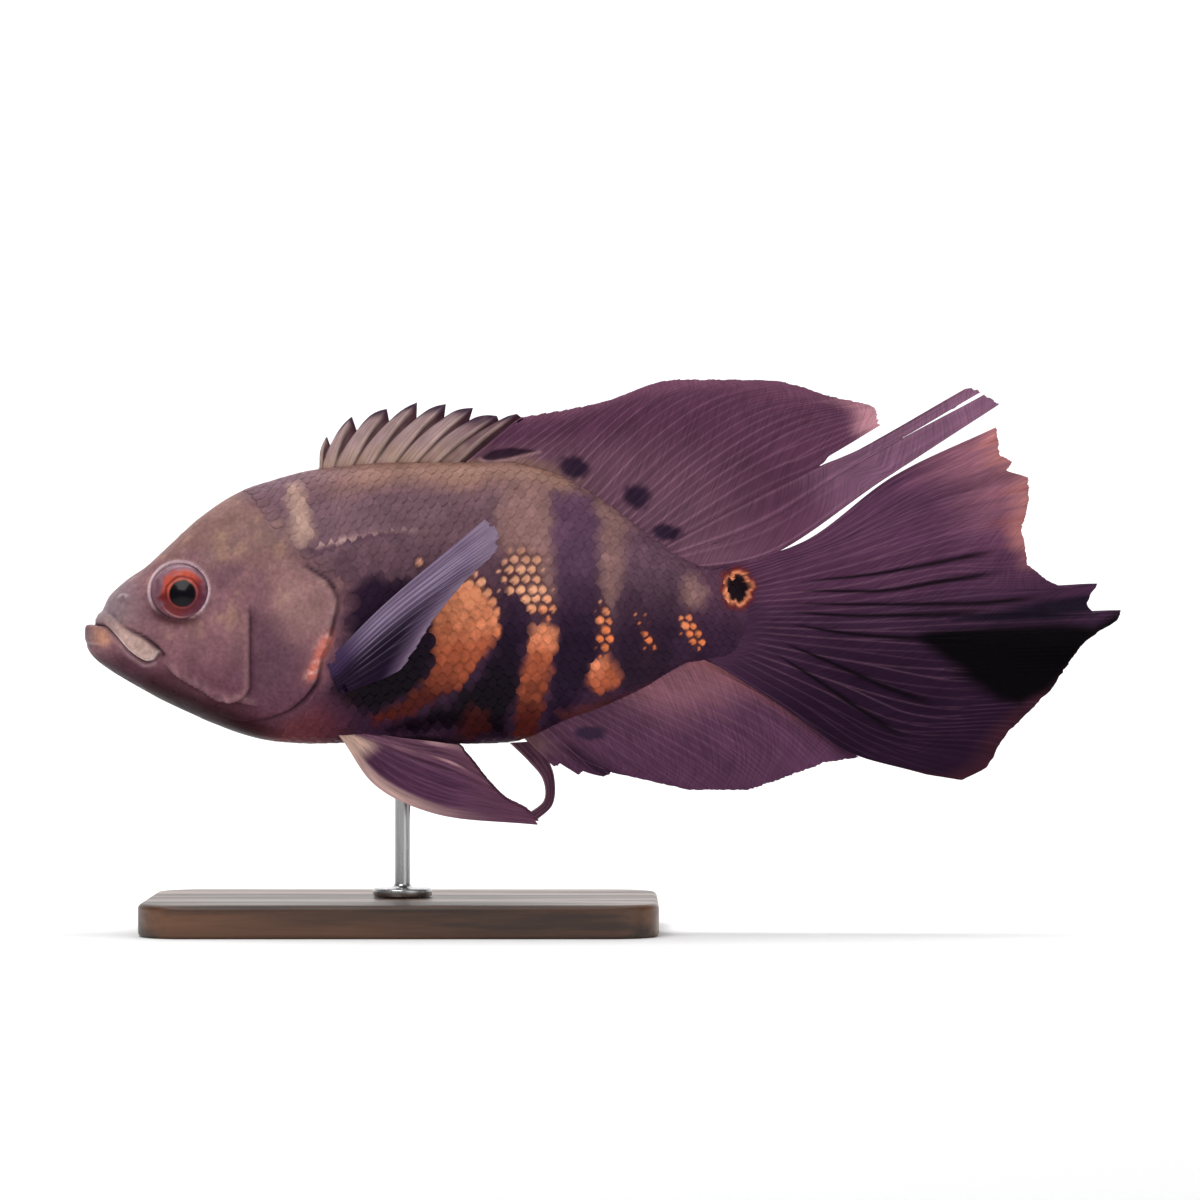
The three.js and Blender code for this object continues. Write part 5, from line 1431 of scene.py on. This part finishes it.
def spine_margin(u):
    """The margin at u, which counts the spines: a nick behind each tip, then a swell up to the next."""
    k = np.clip(u.astype(int), 0, len(SPINE_NICKS) - 1)
    m = u - k
    tips, nicks, bulges = (np.array(points, float) for points in (SPINE_TIPS, SPINE_NICKS, FLAP_BULGES))
    fall = np.clip(m / NICK_AT, 0, 1)[:, None]
    t = np.clip((m - NICK_AT) / (1 - NICK_AT), 0, 1)[:, None]
    bend = 2 * bulges[k] - 0.5 * (nicks[k] + tips[k + 1])
    swell = nicks[k] * (1 - t) ** 2 + bend * 2 * t * (1 - t) + tips[k + 1] * t**2
    points = np.where(fall < 1, tips[k] + (nicks[k] - tips[k]) * fall, swell)
    last = len(SPINE_TIPS) - 1
    rear = np.clip((u - last) / LAST_FLAP["u"], 0, 1)[:, None]
    return np.where(u[:, None] > last, tips[-1] + (np.array(LAST_FLAP["top"]) - tips[-1]) * rear, points)


def make_spiny_dorsal(material):
    last = len(SPINE_TIPS) - 1
    u = np.unique(np.r_[np.linspace(0, last, last * 34 + 1), np.linspace(last, last + LAST_FLAP["u"], 16)])
    v = np.r_[-0.16, np.linspace(0, 1, 64)]
    deep = np.clip(v, 0, 1)[None, :]
    roots = np.array([*SPINE_ROOTS, LAST_FLAP["root"]])
    counts = [*range(last + 1), last + LAST_FLAP["u"]]
    root = np.stack([np.interp(u, counts, roots[:, k]) for k in (0, 1)], -1)
    bow = np.interp(u, counts[-2:], [SPINE_BOW, LAST_FLAP["bow"]])[:, None] * np.sin(np.pi * deep)
    flat = root[:, None] + (spine_margin(u) - root)[:, None] * v[None, :, None]
    flat = flat + bow[..., None] * (-0.4, 0.5)
    m = (u - np.floor(u))[:, None]
    apart = np.linalg.norm(np.gradient(flat, u, axis=0), axis=-1) * np.minimum(m, 1 - m)
    spine = bump(apart, 1.0 - 0.65 * deep)
    behind = rise(0, 0.1, m) * rise(0.75, 0.12, m)
    fold = 0.55 * (behind - 0.5 * spine) * (0.3 + 0.7 * rise(0, 0.5, deep))
    side = 0.5 * np.sin(2.1 * u)[:, None] * deep + fold
    middle = np.stack([flat[..., 0], side, flat[..., 1]], -1)
    half = (0.24 - 0.08 * deep + (0.85 - 0.6 * deep) * spine) * (0.45 + 0.55 * rise(0, 0.05, 1 - deep))
    grain = side_noise(flat[..., 0], flat[..., 1], 3.5, 12)
    tone = mix(colour(186, 154, 140), colour(172, 144, 144), rise(0, 0.45, deep + 0.15 * grain) + 0 * m)
    tone = layered(tone, [
        ((112, 78, 88), rise(4.5, 7.2, u[:, None] + 0 * deep + grain) * 0.8),
        ((72, 52, 70), rise(0.72, 0.98, deep + 0.1 * grain + 0 * m)),
    ])
    # A dark line just behind each spine, painted shadow of the spine's ridge on its flap; the last flap is
    # dark as painted shade in the gap before the soft dorsal fin.
    crease = rise(0.0, 0.06, m) * rise(0.3, 0.1, m)
    tone = layered(tone, [
        ((66, 36, 42), 0.85 * crease * rise(-0.1, 0.25, deep)),
        ((190, 164, 156), 0.5 * spine * rise(0.95, 0.6, deep)),
        ((22, 8, 16), 0.9 * rise(last + 0.05, last + 0.25, u)[:, None] + 0 * deep),
    ])
    kept = np.ones((len(u) - 1, len(v) - 1), bool)
    numbers = {"crest": spine, "along": (deep + 0 * m) * 16, "across": 6 * u[:, None] + 0 * deep}
    name = "dorsal_fin_spiny"
    return two_sided(
        name, middle, half, kept, material, (name,), tone * (1 + 0.1 * grain)[..., None], numbers
    )


# Eyes
PUPIL = (31.2, 70.7)
PUPIL_RADIUS, IRIS_RADIUS = 4.0, 6.8


def eye_colour(s, h):
    ds, dh = s - PUPIL[0], h - PUPIL[1]
    radius, angle = np.hypot(ds, dh), np.arctan2(dh, ds)
    # above is 1 on the eye's upper side and 0 below: the outer ring, the iris and the ring round the pupil
    # are painted lighter there, as painted light.
    above = 0.5 + 0.5 * np.sin(angle + 0.5 * np.sin(angle * 2))
    fibre = noise(np.stack([9 * np.cos(angle), 9 * np.sin(angle), radius * 0.5], -1), 1.1, 14)
    swirl = side_noise(s, h, 1.7, 15)
    outer = mix(colour(104, 62, 74), colour(136, 100, 112), above)
    iris = mix(colour(112, 34, 38), colour(196, 84, 64), rise(0.25, 1.0, above + 0.3 * swirl))
    outer = mix(outer, colour(92, 54, 70), 0.6 * rise(0.0, 0.9, swirl))
    # The iris darker on its lower right: painted shadow.
    iris = mix(iris, colour(92, 34, 58), rise(0.1, 0.9, np.cos(angle + 0.35)) * 0.9)
    iris = mix(iris, colour(96, 24, 24), 0.8 * bump(radius - 5.1 - 0.4 * swirl, 0.45))
    tone = mix(outer, iris, rise(IRIS_RADIUS + 1.1, IRIS_RADIUS - 0.9, radius + 0.9 * swirl + 0.4 * fibre))
    tone = layered(tone, [
        # A pale arc at the iris's lower edge: painted highlight.
        ((196, 134, 134), 0.6 * bump(radius - IRIS_RADIUS - 0.4, 0.26) * rise(0.3, 0.9, -np.sin(angle))),
        ((92, 60, 76), 0.6 * rise(7.6, 9.0, np.hypot(s - EYE[0], h - EYE[1]))),
        (
            (184, 104, 88),
            (0.15 + 0.35 * above) * (1 + 0.5 * swirl) * bump(radius - PUPIL_RADIUS - 0.4, 0.26),
        ),
        ((8, 5, 12), rise(PUPIL_RADIUS + 0.25, PUPIL_RADIUS - 0.2, radius + 0.12 * swirl)),
    ])
    return np.clip(tone * (1 + 0.14 * fibre * (radius > PUPIL_RADIUS))[..., None], 0, 1)


def eye_frame(side):
    """Centre of an eye, and its across, up and outward directions."""
    s, h = np.array(EYE[0]), np.array(EYE[1])
    reach = 1.5
    along = (side_at(s + reach, h) - side_at(s - reach, h)) / (2 * reach)
    upward = (side_at(s, h + reach) - side_at(s, h - reach)) / (2 * reach)
    outward = np.array([-along, 1.0, -upward])
    outward /= np.linalg.norm(outward)
    centre = np.array([s, side_at(s, h), h]) + outward * (EYE_STANDS_OUT - EYE_DEPTH)
    up = np.array([0, 0, 1]) - outward * outward[2]
    up /= np.linalg.norm(up)
    across = np.cross(outward, up)
    turn = np.array([1, side, 1])
    return centre * turn, across * turn, up * turn, outward * turn


def make_eye(name, side, material):
    centre, across, up, outward = eye_frame(side)
    rings, sides = 110, 112
    tilt = np.linspace(0.012, np.pi - 0.012, rings)[:, None]
    angle = np.linspace(0, 2 * np.pi, sides, endpoint=False)[None, :]
    reach = EYE_RADIUS * np.sin(tilt)
    a, b = reach * np.cos(angle), reach * np.sin(angle) * EYE_FLAT
    c = EYE_DEPTH * np.cos(tilt) + 0 * angle
    flat = centre + a[..., None] * across + b[..., None] * up
    dome = flat + c[..., None] * outward
    s, h = dome[..., 0], dome[..., 2]
    radius = np.hypot(s - PUPIL[0], h - PUPIL[1])
    front = tilt < np.pi / 2
    lens = 0.35 * rise(PUPIL_RADIUS + 0.1, 0, radius) + 0.12 * bump(radius - PUPIL_RADIUS - 0.5, 0.35)
    hollow = 0.14 * bump(radius - 5.6, 0.9) + 0.1 * bump(radius - 7.4, 0.5)
    points = dome + (front * (lens - hollow))[..., None] * outward
    vertices = place(*np.moveaxis(points.reshape(-1, 3), -1, 0))
    ends = [vertices[:sides].mean(0), vertices[-sides:].mean(0)]
    triangles = capped_faces(rings, sides, flip=side < 0)
    tone = eye_colour(s, h).reshape(-1, 3)
    tone = np.r_[tone, [tone[0], tone[-1]]]
    return make_piece(name, np.r_[vertices, ends], triangles, material, (name,), tone)


def eye_material():
    n = Nodes("wet_eye")
    n.set(Base_Color=n.add("Attribute", attribute_name="paint").outputs["Color"], Roughness=0.3)
    n.set(Coat_Weight=0.16, Coat_Roughness=0.05, Specular_IOR_Level=0.1)
    return n.material


# Stand
STAND_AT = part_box("stand_rod")[0].lerp(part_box("stand_rod")[1], 0.5).x / MM
BASE_LOW, BASE_HIGH = (np.array(corner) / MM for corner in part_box("stand_base"))
ROD_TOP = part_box("stand_rod")[1].z / MM
BASE_CORNER, BASE_BEVEL = 14.0, 1.6
BASE_THICK = 10
ROD_RADIUS, FOOT_RADIUS, FOOT_THICK = 2.4, 9.0, 2.6
FILLET, FOOT_RIM = 1.6, 0.8


def quarter(start, count, point):
    """Points of a quarter turn, each from the cosine and sine of its angle."""
    return [point(math.cos(a), math.sin(a)) for a in np.linspace(start, math.pi / 2, count)]


def lofted(name, rings, material, replaces):
    """A closed body through rings of points, all with the same number of points, in scene millimetres."""
    rings = np.asarray(rings, float)
    count, sides = rings.shape[:2]
    vertices = np.r_[rings.reshape(-1, 3), [rings[0].mean(0), rings[-1].mean(0)]] * MM
    return make_piece(name, vertices, capped_faces(count, sides), material, replaces)


def make_stand(wood, steel):
    middle, half = (BASE_LOW + BASE_HIGH) / 2, (BASE_HIGH - BASE_LOW) / 2
    turn = np.linspace(0, 2 * np.pi, 96, endpoint=False)
    corner = np.stack([np.sign(np.cos(turn + 1e-9)), np.sign(np.sin(turn + 1e-9))], -1)
    edge = [(BASE_CORNER, 0), (3, 0), (1.2, 0), (0.35, 0.35), (0, 1.2), (0, 2)]
    edge += [(0, BASE_THICK - 2.4), (0, BASE_THICK - BASE_BEVEL)]
    edge += quarter(0.15, 8, lambda a, b: (BASE_BEVEL * (1 - a), BASE_THICK - BASE_BEVEL * (1 - b)))
    edge += [(3, BASE_THICK), (BASE_CORNER, BASE_THICK)]
    rings = []
    for inset, z in edge:
        radius = BASE_CORNER - inset
        x = middle[0] + corner[:, 0] * (half[0] - BASE_CORNER) + radius * np.cos(turn)
        y = middle[1] + corner[:, 1] * (half[1] - BASE_CORNER) + radius * np.sin(turn)
        rings.append(np.stack([x, y, BASE_LOW[2] + z + 0 * x], -1))
    lofted("stand_base", rings, wood, ("stand_base",))
    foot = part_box("stand_rod")[0].z / MM
    plate = foot + FOOT_THICK
    fillet = quarter(0, 9, lambda a, b: (ROD_RADIUS + FILLET * (1 - b), plate + FILLET * (1 - a)))
    rim = quarter(0, 7, lambda a, b: (FOOT_RADIUS - FOOT_RIM * (1 - a), plate - FOOT_RIM + FOOT_RIM * b))
    profile = [(0.5, foot), (FOOT_RADIUS - 0.3, foot), (FOOT_RADIUS, foot + 0.3), *rim, *fillet]
    profile += [(ROD_RADIUS, ROD_TOP - 3), (ROD_RADIUS, ROD_TOP), (0.5, ROD_TOP)]
    turn = np.linspace(0, 2 * np.pi, 64, endpoint=False)
    rings = [np.stack([STAND_AT + r * np.cos(turn), r * np.sin(turn), z + 0 * turn], -1) for r, z in profile]
    lofted("stand_rod", rings, steel, ("stand_rod",))


def oiled_wood():
    n = Nodes("oiled_wood")
    stretch, wavy = n.stretched(9.0, 140.0, 140.0), n.stretched(3.0, 30.0, 30.0)
    rings = n.math("SINE", n.math("MULTIPLY", n.noise(1.0, 2, wavy), 26.0))
    grain = n.math("ADD", n.math("MULTIPLY", rings, 0.25), n.noise(2.4, 6, stretch, 0.65))
    ramp = n.add("ValToRGB", {"Fac": n.spread(grain, 0.2, 0.85, 0, 1)})
    ramp.color_ramp.elements[0].color = (*colour(52, 32, 22), 1)
    ramp.color_ramp.elements[1].color = (*colour(112, 72, 46), 1)
    n.set(Base_Color=ramp.outputs["Color"], Roughness=n.spread(grain, 0.2, 0.85, 0.5, 0.34))
    n.set(Normal=n.bump(grain, 0.0002, 0.35), Coat_Weight=0.15, Coat_Roughness=0.25)
    return n.material


def brushed_steel():
    n = Nodes("brushed_steel")
    grain = n.noise(1.0, 2, n.stretched(900.0, 900.0, 30.0))
    n.set(Base_Color=(0.56, 0.56, 0.57, 1), Metallic=1.0, Roughness=n.spread(grain, 0.3, 0.7, 0.22, 0.34))
    return n.material


skin_material = wet_skin()
fin_look = fin_material("fin_membrane")
pectoral_look = fin_material("pectoral_membrane", (0.3, 0.42), 0.12, 0.1)
make_skin(skin_material)
make_scales(skin_material)
make_big_fins(fin_look)
make_spiny_dorsal(fin_look)
make_paired_fins(fin_look, pectoral_look)
make_streamer(fin_look)
eye_look = eye_material()
make_eye("eye_left", -1, eye_look)
make_eye("eye_right", 1, eye_look)
make_stand(oiled_wood(), brushed_steel())


# Camera, floor and light
PICTURE_MM = 1200 * BODY_LENGTH / 655  # the photo's width at the fish
CAMERA_AWAY = 1600.0
PICTURE_CENTRE = ((600 - 85) * BODY_LENGTH / 655, (825 - 600) * BODY_LENGTH / 655)


def make_camera():
    data = bpy.data.cameras.new("camera")
    data.sensor_width = 36
    data.lens = 36 * CAMERA_AWAY / PICTURE_MM
    data.clip_start, data.clip_end = 0.05, 20
    camera = bpy.data.objects.new("camera", data)
    bpy.context.collection.objects.link(camera)
    centre = place(PICTURE_CENTRE[0], -CAMERA_AWAY, PICTURE_CENTRE[1])
    camera.location = centre
    camera.rotation_euler = (math.radians(90), 0, 0)
    bpy.context.scene.camera = camera


def make_backdrop():
    n = Nodes("backdrop")
    n.set(Base_Color=(0.9, 0.9, 0.9, 1), Roughness=0.9, Specular_IOR_Level=0.1)
    half, rear, height, bend = 3.0, 1.2, 3.0, 0.5
    profile = [(-3.0, 0.0), (rear - bend, 0.0)]
    profile += quarter(0, 17, lambda a, b: (rear - bend + bend * b, bend - bend * a))[1:]
    profile.append((rear, height))
    vertices = [(x, y, z) for y, z in profile for x in (-half, half)]
    faces = [(2 * k, 2 * k + 1, 2 * k + 3, 2 * k + 2) for k in range(len(profile) - 1)]
    mesh = bpy.data.meshes.new("backdrop")
    mesh.from_pydata(vertices, [], faces)
    mesh.shade_smooth()
    floor = bpy.data.objects.new("backdrop", mesh)
    bpy.context.collection.objects.link(floor)
    mesh.materials.append(n.material)


def make_light(name, place_m, target, size, power, tint=(1, 1, 1)):
    data = bpy.data.lights.new(name, "AREA")
    data.shape, data.size, data.size_y = "RECTANGLE", size[0], size[1]
    data.energy, data.color = power, tint
    light = bpy.data.objects.new(name, data)
    bpy.context.collection.objects.link(light)
    light.location = place_m
    light.rotation_euler = (Vector(target) - Vector(place_m)).to_track_quat("-Z", "Y").to_euler()


make_camera()
make_backdrop()
CENTRE = (0, 0, 0.1)
make_light("key", (-0.5, -1.0, 1.1), CENTRE, (0.9, 0.6), 9)
make_light("fill", (0.9, -1.2, 0.5), CENTRE, (0.9, 0.9), 2.5)
make_light("top", (0.0, 0.1, 1.3), CENTRE, (1.2, 0.8), 5)
make_light("behind", (0.0, 0.5, 1.6), (0, 1.2, 0.3), (2.4, 0.8), 26)
world = bpy.data.worlds.new("world")
bpy.context.scene.world = world
world.use_nodes = True
world.node_tree.nodes["Background"].inputs["Color"].default_value = (1, 1, 1, 1)
world.node_tree.nodes["Background"].inputs["Strength"].default_value = 0.18
bpy.context.scene.view_settings.view_transform = "Standard"
